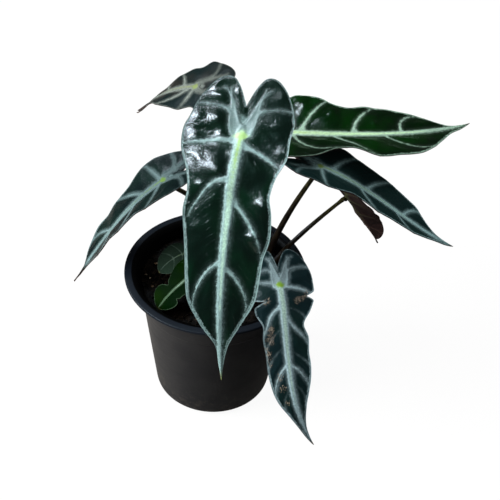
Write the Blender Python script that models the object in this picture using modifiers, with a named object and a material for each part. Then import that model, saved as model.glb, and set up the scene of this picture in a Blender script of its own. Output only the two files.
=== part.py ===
"""Potted alocasia: shield-shaped leaves on round stalks in a plastic nursery pot.

Metres, +Z up.  The origin is the middle of the pot's underside, on the ground.
Leaf measures are written in millimetres and turned to metres by MM.
"""
import math

import bmesh
import bpy
from mathutils import Matrix, Vector

for old in list(bpy.data.objects):
    bpy.data.objects.remove(old, do_unlink=True)

MM = 0.001
GAP = 0.35 * MM

# Pot
RIM_RADIUS = 65.0 * MM
POT_HEIGHT = 109.0 * MM
NECK_RADIUS = 54.8 * MM
NECK_HEIGHT = 101.0 * MM
LEDGE_HEIGHT = 85.0 * MM
LEDGE_STEP = 0.5 * MM
LOW_RADIUS = 43.3 * MM
LOW_HEIGHT = 6.0 * MM
BASE_RADIUS = 41.6 * MM
WALL = 1.5 * MM
LIP = 1.9 * MM
FLOOR_TOP = 3.6 * MM
FOOT_OUTER = 40.5 * MM
FOOT_INNER = 33.0 * MM
FOOT_HEIGHT = 1.5 * MM
PAD_RADIUS = 9.0 * MM
DRAIN_CIRCLE = 24.0 * MM
DRAIN_RADIUS = 4.0 * MM
FEET = 8
TURNS = 48

# Soil and what stands in it
SOIL_TOP = 99.0 * MM
HOLE_DEPTH = 12.0 * MM
CROWN = Vector((27.0, 12.0, 0.0)) * MM
CROWN_RADIUS = 5.2 * MM
CROWN_HEIGHT = 8.0 * MM
RING_RADIUS = 9.6 * MM

# Blades
BLADE = 0.9 * MM
RIB = 0.8 * MM
# Parts of the length from joint to tip at which the half widths are given
STATIONS = (0.0, 0.09, 0.17, 0.25, 0.33, 0.42, 0.50, 0.60, 0.68, 0.77, 0.85, 0.93)
# The lobe behind the joint: inner edge and outer edge, in parts of the length
LOBE = (((-0.262, 0.090), (-0.262, 0.090)),
        ((-0.257, 0.066), (-0.253, 0.116)),
        ((-0.235, 0.046), (-0.235, 0.137)),
        ((-0.200, 0.027), (-0.207, 0.160)),
        ((-0.160, 0.011), (-0.165, 0.183)),
        ((-0.125, 0.000), (-0.120, 0.200)),
        ((-0.060, 0.000), (-0.060, 0.213)))
# Where the columns of a half lie between midrib and edge
ACROSS = (0.0, 0.3, 0.65, 1.0)

# Each leaf: the midrib from joint to tip as four Bezier points, the turn about the
# midrib at joint, middle and tip, how far each half folds down at joint and tip,
# the lift of the lobes, the length and width of each lobe against LOBE, and the
# half widths at STATIONS.  A stalk has its foot on the ring round the crown, given
# as an angle, or at (x, y), its radius at both ends, and the way it reaches the joint.
# "a" is the half on the right of a viewer who stands at
# the joint, over the leaf, and looks to the tip.  Angles are degrees.
LEAVES = {
    "front": dict(
        rib=((14, -4, 230), (7, -51, 205), (4, -89, 162), (10, -108, 112)),
        turn=(-2, 0, 0), fold_a=(2, 7), fold_b=(0, 6), lift=-6,
        lobe_a=(0.92, 1.02), lobe_b=(0.96, 0.96),
        a=(38, 36.5, 31, 28, 29, 26.5, 24.5, 23, 20.5, 12, 3, 1.2),
        b=(32, 32, 27, 25, 27.5, 28, 25, 23.5, 21, 13, 5.5, 2),
        foot=-128, stalk=(3.3, 1.9), rise=60, arrive=(0, -0.45, 0.9), reach=40),
    "back_right": dict(
        rib=((42, 63, 186), (90, 46, 198), (143, 66, 187), (180, 97, 179)),
        turn=(-5, -2, -10), fold_a=(-14, 3), fold_b=(-14, 0), lift=7,
        lobe_a=(1.0, 1.0), lobe_b=(1.0, 1.0),
        a=(34, 36, 32, 20.5, 19, 28, 27, 25, 19, 11, 5, 2.5),
        b=(34, 35, 33, 28, 26, 27.5, 26.5, 23.5, 19, 11, 3.5, 1),
        foot=72, stalk=(3.0, 1.7), rise=62, arrive=(0.55, 0.45, 0.7), reach=30),
    "right": dict(
        rib=((69, 32, 181), (105, 21, 175), (134, 9, 149), (167, 13, 131)),
        turn=(6, 8, -9), fold_a=(-9, -10), fold_b=(-11, -17), lift=2,
        lobe_a=(0.86, 1.02), lobe_b=(1.0, 1.0),
        a=(25, 27, 23, 17.5, 18.5, 20, 19, 16.5, 14, 8.5, 4, 2),
        b=(24.5, 25.5, 22.5, 21.5, 21.5, 21, 19.5, 17.5, 15, 8, 3, 1),
        foot=25, stalk=(2.8, 1.5), rise=24, arrive=(0.5, 0.18, 0.82), reach=24),
    "right_low": dict(
        rib=((91, 43, 147), (105, 51, 123), (114, 64, 99), (124, 78, 75)),
        turn=(-8, 9, -46), fold_a=(-30, -26), fold_b=(-30, -26), lift=0,
        lobe_a=(1.0, 1.0), lobe_b=(1.0, 1.0),
        a=(19.5, 19, 17, 15, 15.5, 14, 13.5, 13, 11, 7, 2.2, 1),
        b=(19.5, 19, 17, 15, 15.5, 14, 13.5, 13, 11, 7, 2.2, 1),
        foot=-20, stalk=(2.4, 1.3), rise=10, arrive=(0.72, 0.36, 0.52), reach=34),
    "front_right": dict(
        rib=((45, -41, 135), (53, -75, 122), (51, -105, 91), (73, -114, 60)),
        turn=(2, 0, 0), fold_a=(18, 10), fold_b=(5, 9), lift=-10,
        lobe_a=(0.85, 0.62), lobe_b=(0.84, 0.95),
        a=(17, 13, 19, 15, 15.5, 14.5, 14.5, 13.5, 11.5, 7, 4, 2),
        b=(23, 18.5, 18, 12.5, 15, 14.5, 15, 13.5, 10.5, 6, 3, 1.5),
        foot=-75, stalk=(2.6, 1.5), rise=18, arrive=(0.25, -0.6, 0.75), reach=16),
    "left": dict(
        rib=((-39, 22, 169), (-67, 13, 150), (-84, 3, 119), (-102, -1, 90)),
        turn=(-5, -17, -5), fold_a=(-12, -8), fold_b=(-9, -8), lift=8,
        lobe_a=(1.0, 1.0), lobe_b=(1.0, 1.0),
        a=(23, 23, 21, 18, 17.5, 18, 17, 16.5, 12.5, 8, 2, 1),
        b=(23.5, 23, 21, 17, 17, 18, 16.5, 16, 13, 7, 2, 1),
        foot=172, stalk=(2.8, 1.5), rise=45, arrive=(-0.85, 0.1, 0.42), reach=26),
    "back_left": dict(
        rib=((-22, 91, 202), (-52, 103, 191), (-59, 124, 160), (-72, 144, 140)),
        turn=(17, 12, 20), fold_a=(-3, -16), fold_b=(16, -2), lift=0,
        lobe_a=(1.15, 1.12), lobe_b=(1.0, 0.96),
        a=(18, 18, 16, 15, 14, 13, 13, 12, 10, 6, 3, 1.5),
        b=(17, 19.5, 17.5, 15.5, 13, 10, 13, 12, 10, 6, 2.5, 1),
        foot=122, stalk=(2.8, 1.5), rise=50, arrive=(-0.4, 0.5, 0.75), reach=26),
    "young_upper": dict(
        rib=((-23, 4, 118), (-29, 2, 117), (-36, -1, 112), (-40, -4, 106)),
        turn=(0, 0, 0), fold_a=(-6, -6), fold_b=(0, 0), lift=0,
        lobe_a=(1.0, 1.8), lobe_b=(1.0, 1.8),
        a=(11, 12, 12.5, 12.5, 12.5, 12, 11.5, 10.5, 9.5, 8, 6, 3.5),
        b=(11, 12, 12.5, 12.5, 12.5, 12, 11.5, 10.5, 9.5, 8, 6, 3.5),
        foot=(-4, 5), stalk=(1.3, 0.9), rise=8, arrive=(-0.7, 0, 0.7), reach=5),
    "young_lower": dict(
        rib=((-8, -11, 120), (-16, -19, 119), (-31, -31, 114), (-37.5, -38.5, 103)),
        turn=(0, 0, 0), fold_a=(0, 0), fold_b=(0, 0), lift=0,
        lobe_a=(0.9, 1.3), lobe_b=(0.9, 1.3),
        a=(13, 15, 16, 15.5, 14.5, 12.5, 10.5, 8.5, 11, 11.5, 9.5, 5.5),
        b=(13, 15, 16, 15, 13.5, 11.5, 10, 9, 10, 10.5, 9, 5.5),
        foot=(4, -3), stalk=(1.3, 0.9), rise=8, arrive=(-0.5, -0.4, 0.75), reach=5),
}
COLOURS = {
    "pot": (0.022, 0.022, 0.024, 1.0),
    "soil": (0.018, 0.013, 0.010, 1.0),
    "crown": (0.060, 0.030, 0.018, 1.0),
    "stalk": (0.045, 0.026, 0.018, 1.0),
    "leaf": (0.012, 0.038, 0.020, 1.0),
    "young leaf": (0.020, 0.060, 0.024, 1.0),
}
ROUGHNESS = {"pot": 0.42, "soil": 0.95, "crown": 0.8, "stalk": 0.45, "leaf": 0.3, "young leaf": 0.35}


def collection(name):
    made = bpy.data.collections.new(name)
    bpy.context.scene.collection.children.link(made)
    return made


PARTS = collection("Potted alocasia")
CUTTERS = collection("Cutters")


def look(name):
    made = bpy.data.materials.get(name) or bpy.data.materials.new(name)
    made.use_nodes = True
    shader = made.node_tree.nodes["Principled BSDF"]
    shader.inputs["Base Color"].default_value = COLOURS[name]
    shader.inputs["Roughness"].default_value = ROUGHNESS[name]
    shader.inputs["Metallic"].default_value = 0.0
    return made


def link(name, data, where, material=None):
    made = bpy.data.objects.new(name, data)
    where.objects.link(made)
    if material:
        data.materials.append(look(material))
    return made


def from_bmesh(name, shape, where, material=None):
    mesh = bpy.data.meshes.new(name)
    shape.to_mesh(mesh)
    shape.free()
    return link(name, mesh, where, material)


def turned(name, profile, where, material, turns=TURNS):
    """A turned body.  The profile of (radius, height) starts and ends on the axis."""
    shape = bmesh.new()
    spots = [shape.verts.new((radius, 0.0, height)) for radius, height in profile]
    for low, high in zip(spots, spots[1:]):
        shape.edges.new((low, high))
    made = from_bmesh(name, shape, where, material)
    screw = made.modifiers.new("turn", "SCREW")
    screw.axis = "Z"
    screw.angle = math.tau
    screw.steps = turns
    screw.render_steps = turns
    screw.use_merge_vertices = True
    screw.merge_threshold = 0.00001
    return made


def cut(target, cutter):
    """Take the cutter out of the target, and keep the cutter out of sight."""
    cutter.hide_render = True
    cutter.display_type = "WIRE"
    step = target.modifiers.new("cut", "BOOLEAN")
    step.operation = "DIFFERENCE"
    step.solver = "EXACT"
    step.object = cutter


def posts(name, spots, low, high, sides):
    """Upright cylinders at (x, y, radius), one mesh, to cut with."""
    shape = bmesh.new()
    for x, y, radius in spots:
        bmesh.ops.create_cone(
            shape, cap_ends=True, segments=sides, radius1=radius, radius2=radius,
            depth=high - low, matrix=Matrix.Translation((x, y, (low + high) / 2)))
    return from_bmesh(name, shape, CUTTERS)


def wall_radius(height):
    """Outer radius of the tapered wall."""
    slope = (NECK_RADIUS - LOW_RADIUS) / (NECK_HEIGHT - LOW_HEIGHT)
    return LOW_RADIUS + slope * (height - LOW_HEIGHT)


def make_pot():
    """One wall from the floor up the inside, over the flat lip and down to the feet."""
    inside = [
        (0.0, FLOOR_TOP),
        (BASE_RADIUS - 0.6 * MM, FLOOR_TOP),
        (wall_radius(LOW_HEIGHT) - WALL, LOW_HEIGHT),
        (wall_radius(NECK_HEIGHT) - WALL, NECK_HEIGHT),
        (55.4 * MM, POT_HEIGHT - 2.6 * MM),
        (57.6 * MM, POT_HEIGHT - 0.7 * MM),
        (59.6 * MM, POT_HEIGHT),
    ]
    lip = [
        (RIM_RADIUS - 0.9 * MM, POT_HEIGHT - 0.1 * MM),
        (RIM_RADIUS, POT_HEIGHT - LIP / 2),
        (RIM_RADIUS - 0.9 * MM, POT_HEIGHT - LIP),
        (60.2 * MM, POT_HEIGHT - LIP),
        (57.6 * MM, POT_HEIGHT - LIP - 0.8 * MM),
        (55.9 * MM, POT_HEIGHT - LIP - 2.9 * MM),
    ]
    outside = [
        (NECK_RADIUS, NECK_HEIGHT),
        (wall_radius(LEDGE_HEIGHT), LEDGE_HEIGHT),
        (wall_radius(LEDGE_HEIGHT) - LEDGE_STEP, LEDGE_HEIGHT - 0.6 * MM),
        (LOW_RADIUS, LOW_HEIGHT),
        (BASE_RADIUS + 1.2 * MM, FLOOR_TOP - 0.2 * MM),
        (BASE_RADIUS, FOOT_HEIGHT + 0.4 * MM),
        (FOOT_OUTER, FOOT_HEIGHT),
        (FOOT_OUTER - 0.5 * MM, 0.0),
        (FOOT_INNER + 0.5 * MM, 0.0),
        (FOOT_INNER, FOOT_HEIGHT),
        (PAD_RADIUS + 0.5 * MM, FOOT_HEIGHT),
        (PAD_RADIUS, 0.0),
        (0.0, 0.0),
    ]
    pot = turned("pot", inside + lip + outside, PARTS, "pot")

    drains = []
    notches = bmesh.new()
    notch_length = 12.5 * MM
    notch_width = 6.0 * MM
    for k in range(FEET):
        angle = math.tau * (k + 0.5) / FEET
        drains.append((DRAIN_CIRCLE * math.cos(angle), DRAIN_CIRCLE * math.sin(angle), DRAIN_RADIUS))
        middle = (FOOT_INNER + FOOT_OUTER) / 2
        place = (Matrix.Rotation(angle, 4, "Z")
                 @ Matrix.Translation((middle, 0.0, FOOT_HEIGHT / 2 - 0.5 * MM))
                 @ Matrix.Diagonal((notch_length, notch_width, FOOT_HEIGHT + 0.9 * MM, 1.0)))
        bmesh.ops.create_cube(notches, size=1.0, matrix=place)
    cut(pot, from_bmesh("foot_cutter", notches, CUTTERS))
    cut(pot, posts("drain_cutter", drains, -2.0 * MM, 5.0 * MM, 10))


def make_soil(stalk_spots):
    """The soil fills the pot, with a plain hole for the crown and for every stalk."""
    low = LOW_HEIGHT + GAP
    rim = SOIL_TOP - 0.6 * MM
    profile = [
        (0.0, SOIL_TOP),
        (30.0 * MM, SOIL_TOP - 0.4 * MM),
        (50.0 * MM, SOIL_TOP + 0.3 * MM),
        (wall_radius(rim) - WALL - GAP, rim),
        (wall_radius(low) - WALL - GAP, low),
        (BASE_RADIUS - 1.2 * MM, FLOOR_TOP + GAP),
        (0.0, FLOOR_TOP + GAP),
    ]
    soil = turned("soil", profile, PARTS, "soil")
    spots = [(CROWN.x, CROWN.y, CROWN_RADIUS + GAP)] + stalk_spots
    cut(soil, posts("hole_cutter", spots, SOIL_TOP - HOLE_DEPTH, SOIL_TOP + 5.0 * MM, 12))


def make_crown():
    """The short stem between the stalks."""
    foot = SOIL_TOP - HOLE_DEPTH + GAP
    profile = [
        (0.0, SOIL_TOP + CROWN_HEIGHT),
        (CROWN_RADIUS * 0.7, SOIL_TOP + CROWN_HEIGHT * 0.7),
        (CROWN_RADIUS, SOIL_TOP + 1.0 * MM),
        (CROWN_RADIUS, foot),
        (0.0, foot),
    ]
    crown = turned("crown", profile, PARTS, "crown", 12)
    crown.location = CROWN


def bezier(p, t):
    k = 1.0 - t
    return p[0] * k ** 3 + p[1] * (3 * k * k * t) + p[2] * (3 * k * t * t) + p[3] * t ** 3


def bezier_way(p, t):
    k = 1.0 - t
    way = (p[1] - p[0]) * (k * k) + (p[2] - p[1]) * (2 * k * t) + (p[3] - p[2]) * (t * t)
    return way.normalized()


def between(values, share):
    """Read a row of evenly spaced values at a share from 0 to 1."""
    place = min(max(share, 0.0), 1.0) * (len(values) - 1)
    k = min(int(place), len(values) - 2)
    return values[k] + (values[k + 1] - values[k]) * (place - k)


class Sheet:
    """The middle surface of a leaf: a place in space for each (along, across)."""

    STEPS = 60

    def __init__(self, leaf):
        self.leaf = leaf
        self.rib = [Vector(p) * MM for p in leaf["rib"]]
        spots = [bezier(self.rib, k / self.STEPS) for k in range(self.STEPS + 1)]
        self.arc = [0.0]
        for low, high in zip(spots, spots[1:]):
            self.arc.append(self.arc[-1] + (high - low).length)
        self.length = self.arc[-1]

    def bezier_number(self, along):
        along = min(max(along, 0.0), self.length)
        k = 0
        while k < self.STEPS - 1 and self.arc[k + 1] < along:
            k += 1
        return (k + (along - self.arc[k]) / (self.arc[k + 1] - self.arc[k])) / self.STEPS

    def frame(self, along):
        """Midrib point, way to the tip, way to the side of half a, and the upper side."""
        t = self.bezier_number(along)
        way = bezier_way(self.rib, t)
        side = way.cross(Vector((0, 0, 1))).normalized()
        up = side.cross(way)
        turn = math.radians(between(self.leaf["turn"], along / self.length))
        turned_side = side * math.cos(turn) + up * math.sin(turn)
        turned_up = up * math.cos(turn) - side * math.sin(turn)
        return bezier(self.rib, t), way, turned_side, turned_up

    def place(self, along, across):
        spot, way, side, up = self.frame(along)
        ends = self.leaf["fold_a"] if across > 0 else self.leaf["fold_b"]
        fold = math.radians(between(ends, along / self.length))
        lift = math.radians(self.leaf["lift"])
        spot = spot + (way * math.cos(lift) + up * math.sin(lift)) * min(along, 0.0)
        return spot + side * (across * math.cos(fold)) - up * (abs(across) * math.sin(fold))


def leaf_rows(leaf, length, half):
    """Inner and outer end of each row of one half, from the lobe to the tip."""
    sign = 1.0 if half == "a" else -1.0
    long, wide = leaf["lobe_" + half]
    rows = []
    for inner, outer in LOBE:
        rows.append([(s * long * length, sign * v * wide * length) for s, v in (inner, outer)])
    for share, width in zip(STATIONS, leaf[half]):
        rows.append([(share * length, 0.0), (share * length, sign * width * MM)])
    rows.append([(length, 0.0), (length, 0.0)])
    return rows


def make_leaf(name, leaf, sheet, material):
    """An open sheet of triangles, made solid; the midrib is thicker than the blade."""
    joint = sheet.rib[0]
    shape = bmesh.new()
    weights = shape.verts.layers.deform.verify()
    made = {}

    def vertex(along, across):
        key = (round(along, 7), round(across, 7))
        if key not in made:
            made[key] = shape.verts.new(sheet.place(along, across) - joint)
            on_rib = across == 0.0 and along >= 0.0
            made[key][weights][0] = 1.0 - along / sheet.length if on_rib else 0.0
        return made[key]

    for half in ("a", "b"):
        rows = []
        for (s0, v0), (s1, v1) in leaf_rows(leaf, sheet.length, half):
            rows.append([vertex(s0 + (s1 - s0) * c, v0 + (v1 - v0) * c) for c in ACROSS])
        for low, high in zip(rows, rows[1:]):
            for k in range(len(ACROSS) - 1):
                corner = (low[k], low[k + 1], high[k + 1], high[k])
                for triangle in (corner[:3], (corner[0], corner[2], corner[3])):
                    if len(set(triangle)) == 3:
                        shape.faces.new(triangle if half == "a" else triangle[::-1])
    body = from_bmesh("leaf_" + name, shape, PARTS, material)
    body.location = joint
    body.vertex_groups.new(name="rib")
    solid = body.modifiers.new("thickness", "SOLIDIFY")
    solid.thickness = BLADE + RIB
    solid.offset = 0.0
    solid.vertex_group = "rib"
    solid.thickness_vertex_group = BLADE / (BLADE + RIB)
    return body


def make_stalk(name, leaf, foot, sheet):
    """A round stalk that stands in the soil and ends just under the joint."""
    joint, way, side, up = sheet.frame(0.0)
    thick, thin = leaf["stalk"][0] * MM, leaf["stalk"][1] * MM
    arrive = Vector(leaf["arrive"]).normalized()
    lean = math.sqrt(1.0 - min(1.0, arrive.dot(up)) ** 2)
    top = joint - up * ((BLADE + RIB) / 2 + GAP + thin * lean)
    start = Vector((foot[0], foot[1], SOIL_TOP + 1.0 * MM))
    rise = Vector((0, 0, leaf["rise"] * MM))
    path = (start, start + rise, top - arrive * (leaf["reach"] * MM), top)
    steps = 9
    points = [(Vector((foot[0], foot[1], SOIL_TOP - HOLE_DEPTH + GAP)), thick)]
    for k in range(steps + 1):
        t = k / steps
        points.append((bezier(path, t), thick + (thin - thick) * t ** 0.8))
    curve = bpy.data.curves.new("stalk_" + name, "CURVE")
    curve.dimensions = "3D"
    curve.bevel_depth = thick
    curve.bevel_resolution = 2
    curve.use_fill_caps = True
    line = curve.splines.new("POLY")
    line.points.add(len(points) - 1)
    base = points[0][0]
    for point, (spot, radius) in zip(line.points, points):
        point.co = (*(spot - base), 1.0)
        point.radius = radius / thick
    made = link("stalk_" + name, curve, PARTS, "stalk")
    made.location = base


def make_plant():
    """Every leaf with its stalk.  Gives back where the stalks stand in the soil."""
    spots = []
    for name, leaf in LEAVES.items():
        young = name.startswith("young")
        if young:
            foot = (leaf["foot"][0] * MM, leaf["foot"][1] * MM)
        else:
            angle = math.radians(leaf["foot"])
            foot = (CROWN.x + RING_RADIUS * math.cos(angle), CROWN.y + RING_RADIUS * math.sin(angle))
        sheet = Sheet(leaf)
        make_leaf(name, leaf, sheet, "young leaf" if young else "leaf")
        make_stalk(name, leaf, foot, sheet)
        spots.append((foot[0], foot[1], leaf["stalk"][0] * MM + GAP + 0.1 * MM))
    return spots


make_pot()
make_soil(make_plant())
make_crown()
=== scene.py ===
"""Looks of the potted alocasia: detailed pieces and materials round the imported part.

Metres, +Z up, in the part's own frame.  Leaf, pot and soil measures are written in
millimetres and turned to metres by MM.  In a leaf's own flat frame "along" runs from
the joint to the tip and "across" from the midrib to the edge, both in millimetres.
"""
import math
import random
from collections import namedtuple

import bmesh
import bpy
import numpy as np
from mathutils import Matrix, Vector, noise


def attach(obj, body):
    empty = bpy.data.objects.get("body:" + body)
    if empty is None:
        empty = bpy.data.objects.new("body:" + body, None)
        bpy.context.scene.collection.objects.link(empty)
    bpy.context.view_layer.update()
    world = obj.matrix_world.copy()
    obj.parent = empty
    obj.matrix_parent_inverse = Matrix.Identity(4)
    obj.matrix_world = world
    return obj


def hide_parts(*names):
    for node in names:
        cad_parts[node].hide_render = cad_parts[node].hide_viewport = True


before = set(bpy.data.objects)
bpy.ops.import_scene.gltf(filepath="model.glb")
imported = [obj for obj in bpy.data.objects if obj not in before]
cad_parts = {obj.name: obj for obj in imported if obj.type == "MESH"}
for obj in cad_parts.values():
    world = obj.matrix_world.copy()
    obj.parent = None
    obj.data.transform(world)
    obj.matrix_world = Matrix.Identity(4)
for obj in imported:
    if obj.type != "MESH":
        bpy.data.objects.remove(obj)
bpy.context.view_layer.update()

MM = 0.001
SEED = 7

# The pot and what stands in it, as in the part
RIM_RADIUS = 65.0
POT_HEIGHT = 109.0
NECK_RADIUS = 54.8
NECK_HEIGHT = 101.0
LEDGE_HEIGHT = 85.0
LEDGE_STEP = 0.5
LOW_RADIUS = 43.3
LOW_HEIGHT = 6.0
BASE_RADIUS = 41.6
WALL = 1.5
LIP = 1.9
FLOOR_TOP = 3.6
FOOT_OUTER = 40.5
FOOT_INNER = 33.0
FOOT_HEIGHT = 1.5
FOOT_NOTCH = 6.0
PAD_RADIUS = 9.0
DRAIN_CIRCLE = 24.0
DRAIN_RADIUS = 4.0
FEET = 8
POT_TURNS = 144
SHARP_ANGLE = 38.0
SOIL_TOP = 99.0
SOIL_DEPTH = 14.0
CRUMBS = 1100
CHIPS = 34
BIG_CHIPS = ((-44.0, 12.8), (-50.0, 0.5))
CROWN = (27.0, 12.0)
CROWN_RADIUS = 5.2
CROWN_HEIGHT = 8.0
CROWN_DEPTH = 8.0
SHEATHS = 7
SHEATH_SKIN = 0.35
RING_RADIUS = 9.6
STALK_DEPTH = 5.0
STALK_POINTS = 70
STALK_SIDES = 20

# Where the pot's skin turns from its outer to its inner side, where the painted shade of the inside
# begins:
# outward part of the normal times the distance from the axis in metres
INNER_SIDE = (-0.002, -0.010)

# The stage: where the floor fades out in metres, how bright the surroundings are in
# reflections and as fill, how much of the floor's look is its own even light, and how far it
# lies below the pot in metres
FLOOR_FADE = (0.8, 1.5)
GLOSS_FILL = 0.06
SOFT_FILL = 0.25
FLOOR_GLOW = 0.94
FLOOR_DROP = 0.0005

# Lights: name, place, size, power, colour, and whether it shines on surfaces or shows only
# as a reflection in them
LIGHT_TARGET = (0.0, 0.0, 0.15)
LIGHTS = (
    ("window", (-0.72, 0.19, 1.17), (0.30, 0.36), 33.0, (0.78, 0.89, 1.0), False),
    ("sky", (-0.80, 0.10, 1.40), (1.1, 1.1), 3.5, (0.42, 0.95, 0.85), False),
    ("key", (-1.45, -0.4, 0.92), (1.0, 1.0), 74.0, (1.0, 0.985, 0.96), True),
    ("fill", (0.7, 0.6, 1.35), (1.0, 1.0), 14.0, (1.0, 1.0, 1.0), True),
)

# The camera: degrees below level and of roll, distance and target in metres, focal length
CAMERA_DOWN = 41.3
CAMERA_ROLL = 3.2
CAMERA_DISTANCE = 0.8
CAMERA_TARGET = (0.0237, 0.0225, 0.109)
CAMERA_LENS = 79.06

# Blades: thickness, spacing of the grid, how softly a blade folds at its midrib, and the
# length of a leaf whose veins and relief have their full size
BLADE = 0.7
GRID = 0.8
CREASE = 3.0
FULL_LENGTH = 161.0
# A depth in a vein that stands for far outside, and the points along a midrib and a vein
OUTSIDE = -99.0
RIB_POINTS = 241
VEIN_POINTS = 22
# Parts of the length from joint to tip at which the half widths are given
STATIONS = (0.0, 0.09, 0.17, 0.25, 0.33, 0.42, 0.50, 0.60, 0.68, 0.77, 0.85, 0.93)
# The lobe behind the joint: inner edge and outer edge, in parts of the length; from
# FIRST_JOINED_ROW on the two halves meet
LOBE = (((-0.262, 0.090), (-0.262, 0.090)),
        ((-0.257, 0.066), (-0.253, 0.116)),
        ((-0.235, 0.046), (-0.235, 0.137)),
        ((-0.200, 0.027), (-0.207, 0.160)),
        ((-0.160, 0.011), (-0.165, 0.183)),
        ((-0.125, 0.000), (-0.120, 0.200)),
        ((-0.060, 0.000), (-0.060, 0.213)))
FIRST_JOINED_ROW = 5

# The part's own leaf table: the midrib from joint to tip as four Bezier points, the turn
# about it, how far each half folds down at joint and tip, the lift of the lobes, the
# length and width of each lobe against LOBE, the half widths at STATIONS, and the stalk.
# "a" is the half on the right of a viewer who stands at the joint and looks to the tip.
LEAVES = {
    "front": dict(
        rib=((14, -4, 230), (7, -51, 205), (4, -89, 162), (10, -108, 112)),
        turn=(-2, 0, 0), fold_a=(2, 7), fold_b=(0, 6), lift=-6,
        lobe_a=(0.92, 1.02), lobe_b=(0.96, 0.96),
        a=(38, 36.5, 31, 28, 29, 26.5, 24.5, 23, 20.5, 12, 3, 1.2),
        b=(32, 32, 27, 25, 27.5, 28, 25, 23.5, 21, 13, 5.5, 2),
        foot=-128, stalk=(3.3, 1.9), rise=60, arrive=(0, -0.45, 0.9), reach=40),
    "back_right": dict(
        rib=((42, 63, 186), (90, 46, 198), (143, 66, 187), (180, 97, 179)),
        turn=(-5, -2, -10), fold_a=(-14, 3), fold_b=(-14, 0), lift=7,
        lobe_a=(1.0, 1.0), lobe_b=(1.0, 1.0),
        a=(34, 36, 32, 20.5, 19, 28, 27, 25, 19, 11, 5, 2.5),
        b=(34, 35, 33, 28, 26, 27.5, 26.5, 23.5, 19, 11, 3.5, 1),
        foot=72, stalk=(3.0, 1.7), rise=62, arrive=(0.55, 0.45, 0.7), reach=30),
    "right": dict(
        rib=((69, 32, 181), (105, 21, 175), (134, 9, 149), (167, 13, 131)),
        turn=(6, 8, -9), fold_a=(-9, -10), fold_b=(-11, -17), lift=2,
        lobe_a=(0.86, 1.02), lobe_b=(1.0, 1.0),
        a=(25, 27, 23, 17.5, 18.5, 20, 19, 16.5, 14, 8.5, 4, 2),
        b=(24.5, 25.5, 22.5, 21.5, 21.5, 21, 19.5, 17.5, 15, 8, 3, 1),
        foot=25, stalk=(2.8, 1.5), rise=24, arrive=(0.5, 0.18, 0.82), reach=24),
    "right_low": dict(
        rib=((91, 43, 147), (105, 51, 123), (114, 64, 99), (124, 78, 75)),
        turn=(-8, 9, -46), fold_a=(-30, -26), fold_b=(-30, -26), lift=0,
        lobe_a=(1.0, 1.0), lobe_b=(1.0, 1.0),
        a=(19.5, 19, 17, 15, 15.5, 14, 13.5, 13, 11, 7, 2.2, 1),
        b=(19.5, 19, 17, 15, 15.5, 14, 13.5, 13, 11, 7, 2.2, 1),
        foot=-20, stalk=(2.4, 1.3), rise=10, arrive=(0.72, 0.36, 0.52), reach=34),
    "front_right": dict(
        rib=((45, -41, 135), (53, -75, 122), (51, -105, 91), (73, -114, 60)),
        turn=(2, 0, 0), fold_a=(18, 10), fold_b=(5, 9), lift=-10,
        lobe_a=(0.85, 0.62), lobe_b=(0.84, 0.95),
        a=(17, 19, 19, 15, 15.5, 14.5, 14.5, 13.5, 11.5, 7, 4, 2),
        b=(23, 22, 18, 12.5, 15, 14.5, 15, 13.5, 10.5, 6, 3, 1.5),
        foot=-75, stalk=(2.6, 1.5), rise=18, arrive=(0.25, -0.6, 0.75), reach=16),
    "left": dict(
        rib=((-39, 22, 169), (-67, 13, 150), (-84, 3, 119), (-102, -1, 90)),
        turn=(-5, -17, -5), fold_a=(-12, -8), fold_b=(-9, -8), lift=8,
        lobe_a=(1.0, 1.0), lobe_b=(1.0, 1.0),
        a=(23, 23, 21, 18, 17.5, 18, 17, 16.5, 12.5, 8, 2, 1),
        b=(23.5, 23, 21, 17, 17, 18, 16.5, 16, 13, 7, 2, 1),
        foot=172, stalk=(2.8, 1.5), rise=45, arrive=(-0.85, 0.1, 0.42), reach=26),
    "back_left": dict(
        rib=((-22, 91, 202), (-52, 103, 191), (-59, 124, 160), (-72, 144, 140)),
        turn=(17, 12, 20), fold_a=(-3, -16), fold_b=(16, -2), lift=0,
        lobe_a=(1.15, 1.12), lobe_b=(1.0, 0.96),
        a=(18, 18, 16, 15, 14, 13, 13, 12, 10, 6, 3, 1.5),
        b=(17, 19.5, 17.5, 15.5, 13, 10, 13, 12, 10, 6, 2.5, 1),
        foot=122, stalk=(2.8, 1.5), rise=50, arrive=(-0.4, 0.5, 0.75), reach=26),
    "young_upper": dict(
        rib=((-23, 4, 118), (-29, 2, 117), (-36, -1, 112), (-40, -4, 106)),
        turn=(0, 0, 0), fold_a=(-6, -6), fold_b=(0, 0), lift=0,
        lobe_a=(1.0, 1.8), lobe_b=(1.0, 1.8),
        a=(11, 12, 12.5, 12.5, 12.5, 12, 11.5, 10.5, 9.5, 8, 6, 3.5),
        b=(11, 12, 12.5, 12.5, 12.5, 12, 11.5, 10.5, 9.5, 8, 6, 3.5),
        foot=(-4, 5), stalk=(1.3, 0.9), rise=8, arrive=(-0.7, 0, 0.7), reach=5),
    "young_lower": dict(
        rib=((-8, -11, 120), (-16, -19, 119), (-31, -31, 114), (-37.5, -38.5, 103)),
        turn=(0, 0, 0), fold_a=(0, 0), fold_b=(0, 0), lift=0,
        lobe_a=(0.9, 1.3), lobe_b=(0.9, 1.3),
        a=(13, 15, 16, 15.5, 14.5, 12.5, 10.5, 8.5, 11, 11.5, 9.5, 5.5),
        b=(13, 15, 16, 15, 13.5, 11.5, 10, 9, 10, 10.5, 9, 5.5),
        foot=(4, -3), stalk=(1.3, 0.9), rise=8, arrive=(-0.5, -0.4, 0.75), reach=5),
}

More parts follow.
